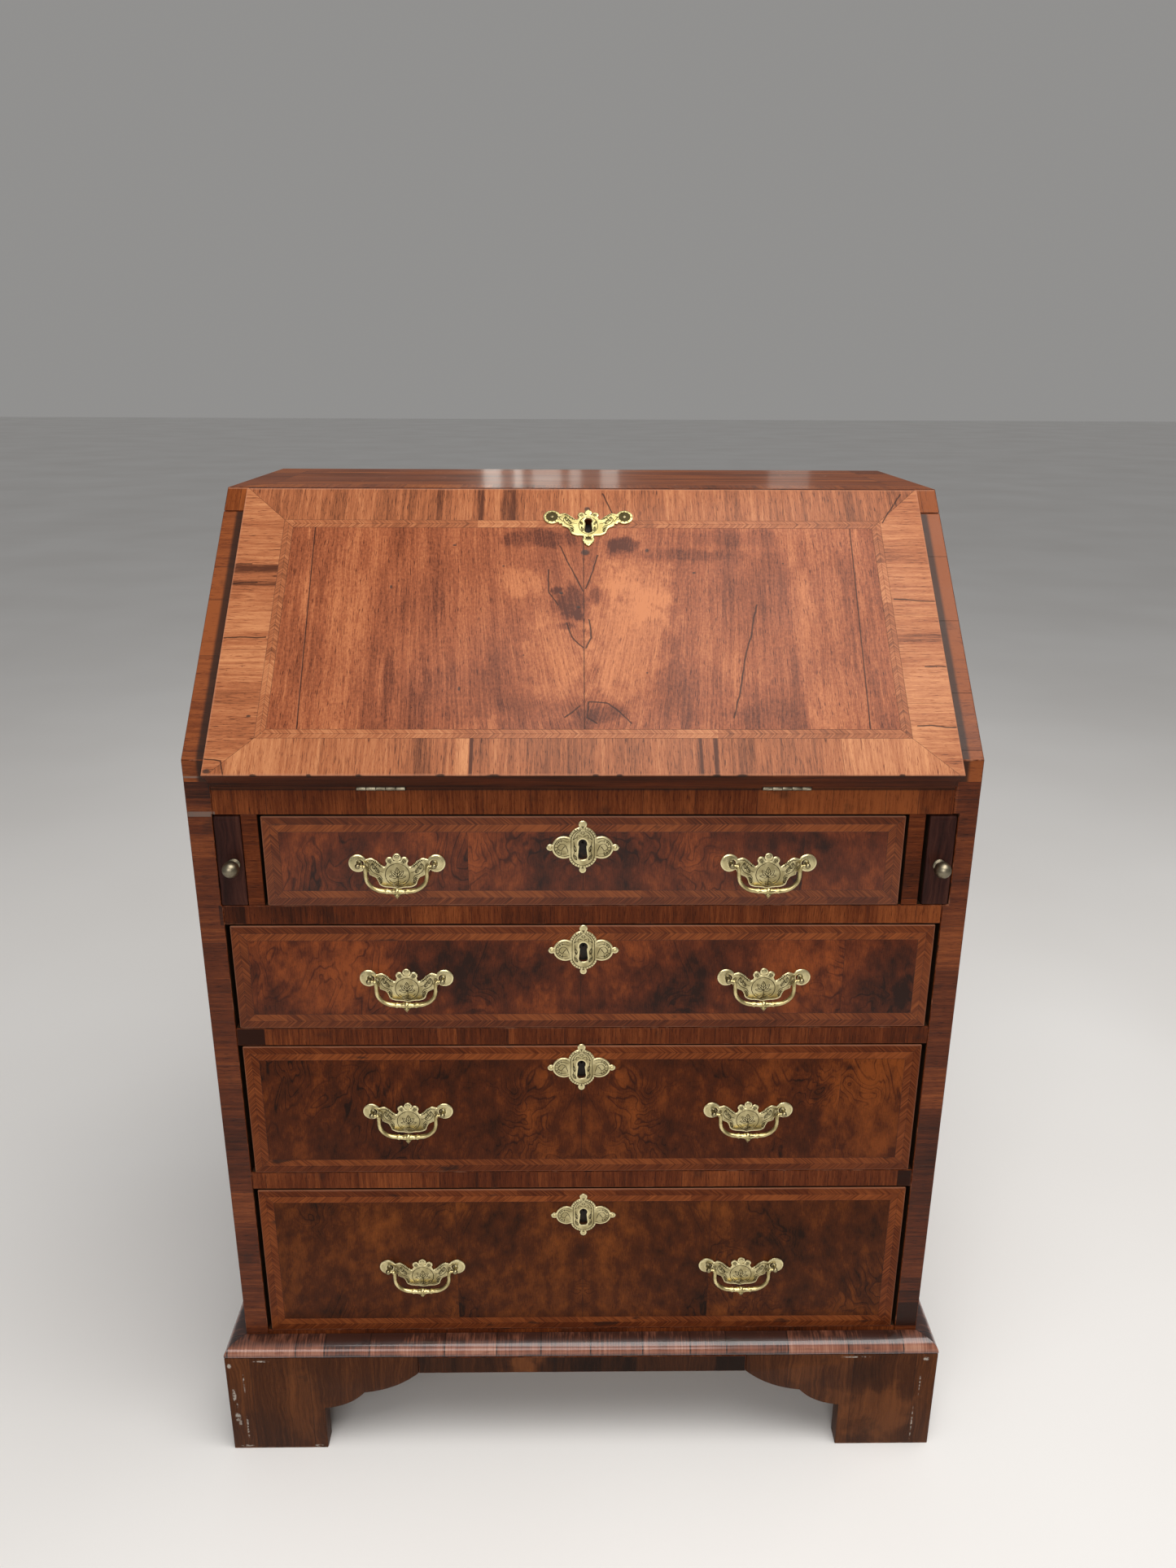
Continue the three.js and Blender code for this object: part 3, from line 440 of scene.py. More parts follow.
def fall_walnut():
    """The fall: two leaves opened like a book, inside a feather band and a wide crossband."""
    g = Graph("fall_walnut_veneer")
    x, y, z = g.place()
    dy, dz = y - HINGE.y, z - HINGE.z
    up = dy * math.cos(SLOPE) + dz * math.sin(SLOPE)
    out = dz * math.cos(SLOPE) - dy * math.sin(SLOPE)
    side = abs(x)
    right = g.above(x, 0.0)

    ragged = (g.noise(x * 60, up * 44, 5.0, detail=4.0, rough=0.62) - 0.5) * 2.1
    wobble = (g.noise(x * 42, up * 42, 8.0, detail=2.0) - 0.5) * 5.0

    from_side = FALL_HALF_WIDTH - side
    from_end = g.least(up + 5.1 * MM, (FALL_FACE_TOP + 2.6 * MM) - up)
    inset = g.least(from_side, from_end)
    upright = g.above(from_end, from_side)
    along = g.where(upright, up + right * 3.0, x + g.above(up, 0.17) * 7.0)

    band_tone, band_relief, band_joint = crossband(g, along, inset, 2.3, 84.0, 0.14)
    # the right-hand upright crossband is raised in tone, partly its own colour and partly painted sheen
    band_tone = band_tone + total(g, x, up, ragged * 0.3, BAND_STREAKS) + upright * right * 0.1
    middle = (FALL_BAND + FALL_FEATHER) / 2 * MM
    chevron = along + abs(inset - middle)
    shade = g.cells(along + 1.7, 48 * MM)[0]
    feather_tone = g.noise(chevron * 760, inset * 70, 3.0, detail=1.0) * 0.95 + shade * 0.3 - 0.1

    # the two leaves' grain runs down into a crotch in the middle
    joint_x = up * 0.0254 + 0.2648
    strip = g.above(side, joint_x)
    sweep = g.math("EXPONENT", side * (-1 / 0.075)) * (up * 0.42)
    across = side - sweep + strip * 0.6
    field_tone, field_relief = grain(g, up, across, 2.0, figure=0.005, streak=0.8, stripe=0.5, dash=0.6)
    speckle = g.noise(x * 420, up * 300, 4.0, detail=2.0, rough=0.7) - 0.5
    cloud = g.noise(x * 17, up * 12, 13.0, detail=3.0) - 0.5
    field_tone = field_tone + speckle * 0.6 + cloud * 0.6 + total(g, x, up, ragged, FALL_STAINS)

    in_field = g.above(inset, FALL_FEATHER * MM)
    in_band = g.above(FALL_BAND * MM, inset)
    edge_tone = g.where(in_band, band_tone, feather_tone)
    colour = g.blend(in_field, ramp_of(g, edge_tone, BAND_TONES), ramp_of(g, field_tone, FALL_TONES))

    mitre = line_at(g, from_side - from_end, 0.0) * (1 - in_field)
    seams = [
        mitre,
        line_at(g, inset, FALL_BAND, 0.3) * 0.7,
        line_at(g, inset, FALL_FEATHER, 0.3) * 0.8,
        line_at(g, inset, (FALL_BAND + FALL_FEATHER) / 2, 0.3) * 0.6,
        line_at(g, side - joint_x, 0.0, 0.8) * in_field,
        line_at(g, side, 0.0, 0.7) * in_field * 0.9,
        band_joint * in_band * 0.5,
    ]
    seams += [crack(g, x, up, wobble, start, end, 1.05) for start, end in FALL_CRACKS]
    plugs = union(g, [spot(g, x, up, ragged * 0.5, mark[:2], mark[2:]) for mark in FALL_PLUGS])
    pits = wear_pits(g, x, up)
    seam = g.least(union(g, seams) + pits * 0.8, 1.0)
    colour = g.blend(seam * 0.85, colour, GLUE_LINE)
    colour = g.blend(plugs * 0.85, colour, (0.035, 0.022, 0.018))

    # rubbed arrises, and dark breaks along the lower one
    arris = g.least(from_side, g.least(up, FALL_FACE_TOP - up))
    rubbed = g.ease(arris + (ragged * 1.1 * MM), 2.2 * MM, 0.2 * MM)
    colour = g.blend(rubbed * 0.5, colour, (0.42, 0.18, 0.10))
    losses = union(g, [
        spot(g, x, up, ragged * 0.9, (at, 0.1), (wide * 0.5, 1.3)) for at, wide in LOWER_LOSSES
    ])
    losses = losses * g.above(out, FALL_THICKNESS - 3.4 * MM)
    colour = g.blend(losses * 0.8, colour, (0.02, 0.012, 0.010))

    # the solid edges, and the writing side, which is plain
    edge_tone, edge_relief = grain(g, x, up + out * 1.6, 9.0, figure=0.01)
    writing = g.above(0.4 * MM, out)
    edge_colour = ramp_of(g, edge_tone - 0.22, CASE_TONES)
    inner_colour = ramp_of(g, edge_tone + 0.12, TOP_TONES)
    edge_colour = g.blend(writing, edge_colour, inner_colour)
    edge_colour = g.blend(losses * 0.9, edge_colour, DIRT_AND_SHADE)
    faced = g.above(out, FALL_THICKNESS - VENEER)
    colour = g.blend(faced, edge_colour, colour)

    relief = g.where(faced, g.where(in_field, field_relief, band_relief), edge_relief)
    relief = relief * 0.35 - seam - plugs
    roughness = g.noise(x * 14, up * 14, 1.0) * 0.22 + 0.27 + rubbed * 0.15
    return g.finish(colour, roughness, relief, 0.12 * MM, **FALL_POLISH)


# what differs between the drawer fronts: x of the book-matched joint and of other leaf joints, colour
# and shine, and marks as x, height above the middle, radii, change of tone
DRAWER_LOOKS = [
    {
        "centre": -1.0, "leaves": (-110.0, 208.0), "seed": 11.0, "tint": (1.12, 1.0, 0.95), "shine": 0.24,
        "marks": [
            (-250, 0, 70, 40, 0.1), (-100, 4, 60, 40, 0.2), (0, 8, 60, 40, -0.14),
            (120, 0, 60, 36, 0.08), (245, 2, 46, 24, -0.2), (40, -14, 60, 10, 0.1),
            (-55, 22, 30, 8, -0.15), (215, 20, 30, 14, -0.2),
        ],
    },
    {
        "centre": -3.0, "leaves": (-172.0, 255.0), "seed": 23.0, "tint": (1.05, 0.92, 0.75), "shine": 0.14,
        "marks": [
            (-255, 6, 60, 46, 0.34), (-95, 8, 80, 40, -0.3), (0, 0, 50, 60, -0.18),
            (88, 4, 46, 40, -0.22), (60, 24, 60, 26, 0.1), (75, -28, 60, 20, -0.28),
            (205, 6, 46, 50, 0.3), (300, 4, 30, 50, -0.18), (-40, -26, 50, 18, 0.12),
            (315, -16, 10, 20, -0.3),
        ],
    },
    {
        "centre": -2.0, "leaves": (-165.0, 262.0), "seed": 37.0, "tint": (0.86, 0.8, 0.55), "shine": 0.07,
        "marks": [
            (-250, -20, 40, 50, -0.18), (-120, 10, 60, 60, -0.08), (-200, 10, 30, 50, 0.12),
            (0, -10, 60, 60, -0.05), (296, 0, 60, 90, 0.46), (60, 12, 46, 40, 0.08),
            (235, 6, 26, 60, -0.14), (150, 30, 50, 20, 0.05),
        ],
    },
    {
        "centre": 0.0, "leaves": (-135.0, 136.0), "seed": 51.0, "tint": (0.82, 0.84, 0.55), "shine": 0.07,
        "marks": [
            (-200, 6, 60, 60, 0.05), (90, -10, 60, 60, -0.08), (18, 10, 22, 20, 0.24),
            (-20, 10, 22, 20, 0.14), (110, -40, 50, 30, -0.12), (250, 30, 40, 40, -0.06),
            (-90, 40, 50, 30, -0.15), (210, -40, 60, 30, 0.06),
        ],
    },
]
BAND_MIDDLE = 8.0
BAND_WIDTH = 15.6


def drawer_walnut(index):
    """A drawer front's face: figured leaves inside two narrow bands whose grain makes a chevron."""
    look = DRAWER_LOOKS[index]
    seed = look["seed"]
    lo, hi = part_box(f"drawer_{index + 1}_front")
    g = Graph(f"drawer_{index + 1}_walnut_veneer")
    x, y, z = g.place()
    middle_z = (lo.z + hi.z) / 2

    from_side = hi.x - abs(x)
    from_end = g.least(z - lo.z, hi.z - z)
    inset = g.least(from_side, from_end)
    upright = g.above(from_end, from_side)
    along = g.where(upright, z + g.above(x, 0.0) * 3.0, x + g.above(z, middle_z) * 7.0) + seed

    ragged = (g.noise(x * 45, z * 45, seed, detail=3.0) - 0.5) * 1.8
    inner = g.above(inset, BAND_MIDDLE * MM)
    chevron = along + abs(inset - BAND_MIDDLE * MM) * 1.15
    shade = g.cells(along + inner * 2.2, 52 * MM)[0]
    band_tone = g.noise(chevron * 640, inset * 50, seed, detail=2.0) * 1.25 + shade * 0.2 - 0.2
    band_tone = band_tone + inner * (1 - upright) * 0.2 + upright * 0.08

    first, last = look["leaves"]
    patched = g.above(x, last * MM) + g.above(first * MM, x) * 0.6
    book = abs(x - look["centre"] * MM)
    field_tone, field_relief = burr(g, z + patched * 0.31 + book * 0.3, book * 0.9 + patched * 1.3, seed)
    field_tone = field_tone + total(g, x, z - middle_z, ragged, look["marks"]) * 0.75

    in_field = g.above(inset, BAND_WIDTH * MM)
    band_colour = ramp_of(g, band_tone, CASE_TONES)
    tones = [tuple(np.multiply(tone, look["tint"]).tolist()) for tone in DRAWER_TONES]
    colour = g.blend(in_field, band_colour, ramp_of(g, field_tone, tones))

    seams = union(g, [
        line_at(g, from_side - from_end, 0.0, 0.4) * (1 - in_field),
        line_at(g, inset, BAND_MIDDLE, 0.26) * 0.7,
        line_at(g, inset, BAND_WIDTH, 0.3) * 0.8,
        line_at(g, book, 0.0, 0.4) * in_field,
        line_at(g, x, first, 0.3) * in_field * 0.7,
        line_at(g, x, last, 0.3) * in_field * 0.7,
    ])
    pits = wear_pits(g, x, z)
    dark_ends = g.ease(g.noise(x * 24, z * 60, seed + 3, detail=2.0), 0.66, 0.74) * (1 - in_field)
    seams = g.least(seams + pits * 0.6, 1.0)
    colour = g.blend(seams * 0.8, colour, GLUE_LINE)
    colour = g.blend(dark_ends * 0.7, colour, DIRT_AND_SHADE)
    rubbed = g.ease(inset + ragged * 0.9 * MM, 1.6 * MM, 0.1 * MM)
    colour = g.blend(rubbed * 0.4, colour, WORN)

    pine = bare_wood(g, x, z + y, seed, PINE_TONES)[0]
    faced = g.above(lo.y + VENEER, y)
    colour = g.blend(faced, darkened_near_front(g, y, pine), colour)
    relief = field_relief * in_field * 0.25 - seams - dark_ends
    roughness = g.noise(x * 12, z * 12, seed) * 0.2 + 0.26 + rubbed * 0.2 + (1 - faced) * 0.3
    gloss = {**POLISH, "Specular_IOR_Level": look["shine"]}
    return g.finish(colour, roughness, relief, 0.1 * MM, **gloss)


def patch(g, x, z, across, up):
    """1 inside an upright rectangle, in mm."""
    inside = g.above(x, across[0] * MM) * g.above(across[1] * MM, x)
    return inside * g.above(z, up[0] * MM) * g.above(up[1] * MM, z)


# let-in pieces on the front of the case: x range, z range, change of tone
CASE_PATCHES = [
    ((-346, -318), (506, 527), -0.75), ((331, 346), (334, 355), -0.8),
    ((296, 349), (754, 781), 0.16), ((284, 345), (640, 661), 0.22), ((346, 371), (148, 180), -0.7),
    ((-326, -304), (754, 781), 0.12), ((-371, -346), (770, 786), -0.3),
    ((-300, 300), (754, 781), 0.14), ((346, 371), (180, 214), -0.35),
    ((-350, -325), (640, 661), -0.35),
]
CASE_FILLS = [((-371, -344), (752, 757)), ((-371, -346), (790, 792))]


def front_veneer(g, x, z, upright, seed):
    """Crossbanding on the front edges of the case. upright is 1 where the band runs up."""
    row = g.math("FLOOR", z * 8) * 1.31
    along = g.where(upright, z + g.above(x, 0.0) * 3.0, x + row)
    across = g.where(upright, x, z)
    tone, relief, joint = crossband(g, along, across, seed, 50.0, 0.13)
    cloud = g.noise(x * 6, z * 9, seed + 9.0, detail=3.0)
    slanted = g.above(z, HINGE.z + 6 * MM)
    # the slanted stiles are lighter, partly their own tone and partly painted sheen; the right one more, a
    # painted highlight
    tone = tone + (cloud - 0.5) * 0.9 + slanted * (g.above(x, 0.0) * 0.22 + 0.37)
    for across_range, up_range, amount in CASE_PATCHES:
        tone = tone + patch(g, x, z, across_range, up_range) * amount
    colour = ramp_of(g, tone, CASE_TONES)
    grime = g.ease(g.noise(x * 30, z * 30, seed, detail=3.0), 0.60, 0.74)
    colour = g.blend(joint * 0.7, colour, GLUE_LINE)
    colour = g.blend(grime * 0.45, colour, DIRT_AND_SHADE)
    fills = union(g, [patch(g, x, z, *ranges) for ranges in CASE_FILLS])
    colour = g.blend(fills * 0.6, colour, WAX_FILL)
    pits = wear_pits(g, x, z)
    # painted shadow in the gap beside the fall and in the crease under it
    shadow_beside_fall = slanted * g.ease(abs(x), FALL_HALF_WIDTH + 11 * MM, FALL_HALF_WIDTH + 7 * MM)
    shadow_under_fall = g.ease(z, HINGE.z - 3.5 * MM, HINGE.z - 1 * MM) * (1 - slanted)
    shadow_under_fall = shadow_under_fall * g.above(FALL_HALF_WIDTH, abs(x))
    colour = g.blend(g.most(pits * 0.7, g.most(shadow_beside_fall, shadow_under_fall) * 0.85), colour, DIRT_AND_SHADE)
    return colour, relief * 0.35 - joint - pits


def rail_walnut(name, upright):
    """Rails and partitions: crossbanded on the front edge, bare pine behind."""
    g = Graph(name)
    x, y, z = g.place()
    colour, relief = front_veneer(g, x, z, upright, 4.0)
    pine, fibre = bare_wood(g, x, y + z, 3.0, PINE_TONES)
    faced = g.above(FRONT_Y + VENEER, y)
    colour = g.blend(faced, darkened_near_front(g, y, pine), colour)
    roughness = g.noise(x * 20, z * 20, 2.0) * 0.2 + 0.3 + (1 - faced) * 0.3
    return g.finish(colour, roughness, g.where(faced, relief, fibre * 0.5), 0.12 * MM, **POLISH)


SIDE_MARKS = [(0, 300, 120, 200, 0.12), (60, 780, 150, 120, -0.1), (-80, 560, 60, 90, 0.1)]


def side_walnut():
    """A case side: crossbanded front edge, walnut outer face in two leaves, bare wood inside."""
    g = Graph("case_side_walnut")
    x, y, z = g.place()
    behind_front = y - FRONT_Y
    behind_slope = (y - HINGE.y) * math.sin(SLOPE) - (z - HINGE.z) * math.cos(SLOPE) + EDGE_OFFSET
    faced = g.above(VENEER, g.least(behind_front, behind_slope))
    front_colour, front_relief = front_veneer(g, x, z, 1.0, 6.0)

    middle_y = (FRONT_Y + BACK_Y) / 2 + 0.012
    book = abs(y - middle_y)
    tone, relief = grain(g, z + g.above(x, 0.0) * 2.0, book, 15.0, figure=0.03, streak=0.8, stripe=0.8)
    ragged = (g.noise(y * 30, z * 30, 5.0, detail=3.0) - 0.5) * 1.6
    tone = tone + total(g, y, z, ragged, SIDE_MARKS)
    outer = ramp_of(g, tone, CASE_TONES)
    seam = line_at(g, book, 0.0, 0.4)
    pits = wear_pits(g, y, z, x)
    outer = g.blend(g.least(seam + pits, 1.0) * 0.8, outer, GLUE_LINE)
    scuffs = g.ease(g.noise(y * 9, z * 160, 3.0, detail=2.0), 0.68, 0.8)
    outer = g.blend(scuffs * 0.3, outer, WORN)

    inner = bare_wood(g, z, y, 7.0, PINE_TONES)[0]
    veneered = g.above(abs(x), HALF_WIDTH - VENEER)
    colour = g.blend(faced, g.blend(veneered, darkened_near_front(g, y, inner), outer), front_colour)
    relief = g.where(faced, front_relief, relief * 0.3 - seam - pits)
    roughness = g.noise(y * 12, z * 12, 2.0) * 0.2 + 0.28
    return g.finish(colour, roughness, relief, 0.12 * MM, **FALL_POLISH)


TOP_BAND = 38.0
TOP_RINGS = [(-210, 90, 34), (-190, 128, 34), (140, 40, 41), (262, 176, 27)]  # left by glasses and pots


def top_walnut():
    """The top board: a figured field with its grain from end to end, inside a crossbanded border."""
    g = Graph("top_walnut_veneer")
    x, y, z = g.place()
    from_side = HALF_WIDTH - abs(x)
    from_end = g.least(y - TOP_FRONT_Y, BACK_Y + TOP_BAND * MM - y)
    inset = g.least(from_side, from_end)
    upright = g.above(from_end, from_side)
    along = g.where(upright, y + g.above(x, 0.0) * 3.0, x)
    band_tone, _, band_joint = crossband(g, along, inset, 12.0, 55.0, 0.25)
    field_tone, field_relief = grain(g, x, y, 14.0, figure=0.02)
    in_field = g.above(inset, TOP_BAND * MM)
    tone = g.where(in_field, field_tone, band_tone)
    upper = g.above(z, TOP_Z - 1.6 * MM)
    # the top's sloped front is lighter like the slanted stiles, partly its own tone and partly painted
    # sheen, and more at the right, a painted highlight
    front_tone = band_tone + g.above(x, 0.0) * 0.2 + 0.25
    colour = g.blend(upper, ramp_of(g, front_tone, CASE_TONES), ramp_of(g, tone, TOP_TONES))
    seam = union(g, [
        line_at(g, from_side - from_end, 0.0) * (1 - in_field),
        line_at(g, inset, TOP_BAND, 0.4),
        band_joint * (1 - in_field),
    ])
    stands = []
    for at_x, at_y, radius in TOP_RINGS:
        distance = length_of(g, x - at_x * MM, y - at_y * MM)
        stands.append(g.ease(abs(distance - radius * MM), 1.6 * MM, 0.3 * MM))
    rings = union(g, stands) * g.ease(g.noise(x * 40, y * 40, 4.0), 0.4, 0.6)
    pits = wear_pits(g, x, y)
    colour = g.blend(g.least(seam + pits, 1.0) * 0.8, colour, GLUE_LINE)
    colour = g.blend(rings * 0.25, colour, WORN)
    rubbed = g.ease(from_end + (g.noise(x * 80, y * 80) - 0.5) * 4 * MM, 2 * MM, 0.0)
    colour = g.blend(rubbed * upper * 0.55, colour, WORN)
    relief = field_relief * 0.25 - seam - pits
    wave = g.noise(x * 10, y * 14, 6.0, detail=1.0)
    roughness = wave * 0.2 + 0.36
    return g.finish(colour, roughness, relief + wave * 1.5, 0.12 * MM, **TOP_POLISH)


def moulding_walnut(name, along_axis):
    """Base moulding: short lengths of strongly striped cross-grained veneer."""
    g = Graph(name)
    place = g.place()
    along = place[along_axis]
    out = place[1 - along_axis]
    z = place[2]
    shade, edge = g.cells(along + 0.5, 56 * MM)
    stripes = g.noise(along * 520 + shade * 40, (z + abs(out)) * 60, shade * 9, detail=3.0, rough=0.6)
    broad = g.noise(along * 40, (z + abs(out)) * 60, 3.0, detail=2.0)
    tone = 0.46 + (stripes - 0.5) * 0.9 + (broad - 0.5) * 0.7 + (shade - 0.5) * 0.3
    lo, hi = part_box("base_moulding_front")
    tone = tone - g.ease(z, hi.z - 6 * MM, hi.z - 1 * MM) * 0.4
    tone = tone - g.ease(z, lo.z + 5 * MM, lo.z + 1 * MM) * 0.3
    colour = ramp_of(g, tone, MOULDING_TONES)
    joint = g.ease(edge, 1.0 * MM, 0.5 * MM)
    grime = g.ease(g.noise(along * 40, z * 160, 5.0, detail=3.0), 0.60, 0.75)
    colour = g.blend(joint * 0.9, colour, GLUE_LINE)
    colour = g.blend(grime * 0.6, colour, DIRT_AND_SHADE)
    relief = stripes * 0.4 - joint * 1.5 - grime
    roughness = g.noise(along * 30, z * 60, 2.0) * 0.25 + 0.2
    return g.finish(colour, roughness, relief, 0.14 * MM, **MOULDING_POLISH)


# marks on the feet: x, z, radii, change of tone
FOOT_MARKS = [
    (330, 46, 40, 44, 0.34), (-310, 60, 26, 60, 0.16), (-360, 20, 40, 40, -0.1),
    (290, 100, 40, 22, -0.15), (240, 105, 30, 18, 0.12), (-64, 116, 26, 20, 0.5),
    (160, 116, 20, 30, -0.3),
]
# bared wood: x, z, radii
FOOT_SCARS = [
    (-384, 76, 2.0, 9), (-382, 62, 1.6, 5), (-383, 45, 3.2, 8), (-381, 36, 2.4, 6),
    (-373, 30, 1.2, 14), (-372, 96, 1.0, 12), (-386, 118, 2.2, 3.0), (-352, 124, 12, 1.2),
    (-374, 4, 9, 1.6), (378, 122, 3.0, 2.4), (374, 86, 0.8, 14), (370, 30, 0.8, 22),
    (300, 125, 14, 1.0), (-296, 3, 5, 1.6),
]


def foot_walnut():
    """Bracket feet and apron: dark veneer with upright grain, knocked and mended."""
    g = Graph("foot_walnut_veneer")
    x, y, z = g.place()
    normal = g.split(g.value(g.node("NewGeometry", {}), 1))
    facing_side = g.above(abs(normal[0]), 0.7)
    across = g.where(facing_side, y + 2.0, x)
    ragged = (g.noise(across * 40, z * 40, 5.0, detail=3.0) - 0.5) * 1.8
    shade, edge = g.cells(across + 0.9, 74 * MM)
    tone, relief = grain(g, z + shade, across + shade * 0.7, 21.0, figure=0.016, streak=0.7, stripe=0.6)
    tone = tone + (shade - 0.5) * 0.3 + total(g, x, z, ragged, FOOT_MARKS)
    tone = tone - g.above(180 * MM, abs(x)) * g.above(z, 90 * MM) * 0.22
    joint = g.ease(edge, 0.35 * MM, 0.1 * MM)
    colour = ramp_of(g, tone, FOOT_TONES)
    grime = g.ease(g.noise(across * 18, z * 18, 7.0, detail=4.0, rough=0.6), 0.58, 0.72)
    colour = g.blend(joint * 0.8, colour, GLUE_LINE)
    colour = g.blend(grime * 0.6, colour, DIRT_AND_SHADE)
    broken = g.ease(g.noise(x * 260, z * 260, 2.0, detail=3.0), 0.42, 0.56)
    scars = union(g, [spot(g, x, z, ragged * 1.2, mark[:2], mark[2:]) for mark in FOOT_SCARS]) * broken
    colour = g.blend(scars * 0.8, colour, (0.40, 0.36, 0.31))
    rubbed = g.ease(z, 3 * MM, 0.0) * broken
    colour = g.blend(rubbed * 0.4, colour, WORN)
    pits = wear_pits(g, across, z)
    colour = g.blend(pits * 0.7, colour, DIRT_AND_SHADE)
    roughness = g.noise(across * 16, z * 16, 2.0) * 0.25 + 0.3 + scars * 0.3
    return g.finish(colour, roughness, relief * 0.4 - joint - pits - grime * 0.4, 0.16 * MM, **POLISH)


def loper_walnut():
    """A loper: dark polished front, plain oak along its length."""
    g = Graph("loper_walnut")
    x, y, z = g.place()
    tone, relief = grain(g, z, x, 31.0, figure=0.02)
    dark = ramp_of(g, tone, LOPER_TONES)
    oak = bare_wood(g, y, z, 5.0, OAK_TONES)[0]
    faced = g.above(FRONT_Y + 3 * MM, y)
    colour = g.blend(faced, darkened_near_front(g, y, oak), dark)
    roughness = g.noise(x * 40, z * 40, 2.0) * 0.25 + 0.28 + (1 - faced) * 0.25
    return g.finish(colour, roughness, relief * 0.4, 0.12 * MM, **POLISH)


def worn_arris():
    """Rounded corners of polished walnut, rubbed light in places and grimy in others."""
    g = Graph("worn_walnut_arris")
    x, y, z = g.place()
    rub = g.noise(x * 46 + y * 30, z * 46 + y * 17, 2.0, detail=4.0, rough=0.7)
    tone = g.noise(x * 300, z * 300, y * 200, detail=2.0)
    colour = ramp_of(g, tone, CASE_TONES)
    colour = g.blend(g.ease(rub, 0.5, 0.72) * 0.5, colour, WORN)
    colour = g.blend(g.ease(rub, 0.46, 0.34) * 0.85, colour, DIRT_AND_SHADE)
    return g.finish(colour, rub * 0.3 + 0.25, tone + rub, 0.2 * MM, **POLISH)


# ------------------------------------------------------------------ brass and iron


def brass(name, bright, dark, rough, engraved=False):
    """Cast brass, faintly mottled. Engraved plates are dark in the lines and bright at the rim."""
    g = Graph(name)
    x, y, z = g.place()
    cloud = g.noise(x * 120, y * 120, z * 120, detail=3.0)
    fine = g.noise(x * 900, y * 900, z * 900, detail=2.0)
    stain = g.noise(x * 45, y * 45, z * 45, detail=2.0)
    colour = g.blend(g.ease(cloud, 0.36, 0.68) * 0.75, bright, dark)
    colour = g.blend(g.ease(stain, 0.5, 0.7) * 0.45, colour, dark)
    roughness = cloud * 0.22 + (rough - 0.11)
    if engraved:
        groove = g.attribute("groove")
        field = g.blend(0.4, colour, dark)
        colour = g.blend(g.ease(g.attribute("rubbed"), 0.05, 0.5), field, bright)
        colour = g.blend(g.ease(groove, 0.05, 0.5) * 0.94, colour, (0.035, 0.025, 0.011))
        roughness = roughness + groove * 0.25
    return g.finish(colour, roughness, fine * 0.5 + cloud, 0.05 * MM, Metallic=1.0)


def iron(name):
    g = Graph(name)
    x, y, z = g.place()
    rust = g.noise(x * 160, y * 160, z * 160, detail=4.0, rough=0.65)
    black, brown, orange = (0.012, 0.011, 0.010), (0.030, 0.024, 0.020), (0.085, 0.040, 0.022)
    colour = g.ramp(rust, (0.35, black), (0.6, brown), (0.8, orange))
    return g.finish(colour, rust * 0.4 + 0.35, rust, 0.2 * MM, Metallic=0.7)


# ------------------------------------------------------------------ making pieces


def linked(name, data):
    """A new object of the scene."""
    thing = bpy.data.objects.new(name, data)
    bpy.context.scene.collection.objects.link(thing)
    return thing


def smoothed(mesh, materials, angle=32):
    """The mesh with its materials, shaded smooth but for the edges sharper than the angle."""
    for material in materials:
        mesh.materials.append(material)
    for polygon in mesh.polygons:
        polygon.use_smooth = True
    mesh.set_sharp_from_angle(angle=math.radians(angle))
    return mesh


def place_piece(name, mesh, body, replaces=(), matrix=None):
    """A piece of the mesh that rides on a body and stands in for the CAD nodes it replaces."""
    piece = linked(name, mesh)
    if matrix is not None:
        piece.matrix_world = matrix
    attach(piece, body)
    if replaces:
        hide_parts(*replaces)


def keep(name, mesh, body, materials, replaces=(), matrix=None, angle=32):
    """Places a finished mesh that only one piece shows."""
    mesh.name = name
    place_piece(name, smoothed(mesh, materials, angle), body, replaces, matrix)


def mesh_of(bm):
    """A mesh from a bmesh, with its faces pointing out."""
    bmesh.ops.recalc_face_normals(bm, faces=bm.faces)
    mesh = bpy.data.meshes.new("mesh")
    bm.to_mesh(mesh)
    bm.free()
    return mesh


def block(lo, hi, bevel=0.0, segments=2):
    """A bmesh box, its edges rounded if bevel isn't 0."""
    bm = bmesh.new()
    size = Vector(hi) - Vector(lo)
    centre = (Vector(hi) + Vector(lo)) / 2
    matrix = Matrix.Translation(centre) @ Matrix.Diagonal((*size, 1))
    bmesh.ops.create_cube(bm, size=1.0, matrix=matrix)
    round_edges(bm, bevel, segments)
    return bm


def round_edges(bm, bevel, segments=2, chosen=None):
    edges = [edge for edge in bm.edges if chosen is None or chosen(edge)]
    if bevel and edges:
        bmesh.ops.bevel(
            bm, geom=edges, offset=bevel, segments=segments, profile=0.5, affect="EDGES", clamp_overlap=True
        )


def skin(bm, rings):
    """Joins rings of equally many vertices into a solid with closed ends."""
    bm.faces.new(rings[0])
    bm.faces.new(list(reversed(rings[-1])))
    count = len(rings[0])
    for a, b in zip(rings, rings[1:]):
        for k in range(count):
            m = (k + 1) % count
            bm.faces.new((a[k], a[m], b[m], b[k]))


def prism(outline, depth, to_place):
    """A bmesh solid: an (a, b) outline at each of two depths, placed by to_place(a, b, depth)."""
    bm = bmesh.new()
    skin(bm, [[bm.verts.new(to_place(a, b, d)) for a, b in outline] for d in depth])
    bmesh.ops.recalc_face_normals(bm, faces=bm.faces)
    return bm


def along_x(a, b, depth):
    """Places a prism's outline across the X axis."""
    return depth, a, b


def placed_by(matrix):
    """Places a prism's outline on the matrix's XY plane."""
    return lambda a, b, depth: matrix @ Vector((a, b, depth))


def merged(parts):
    """One bmesh from several."""
    whole = bmesh.new()
    for part in parts:
        mesh = bpy.data.meshes.new("part")
        part.to_mesh(mesh)
        part.free()
        whole.from_mesh(mesh)
        bpy.data.meshes.remove(mesh)
    return whole


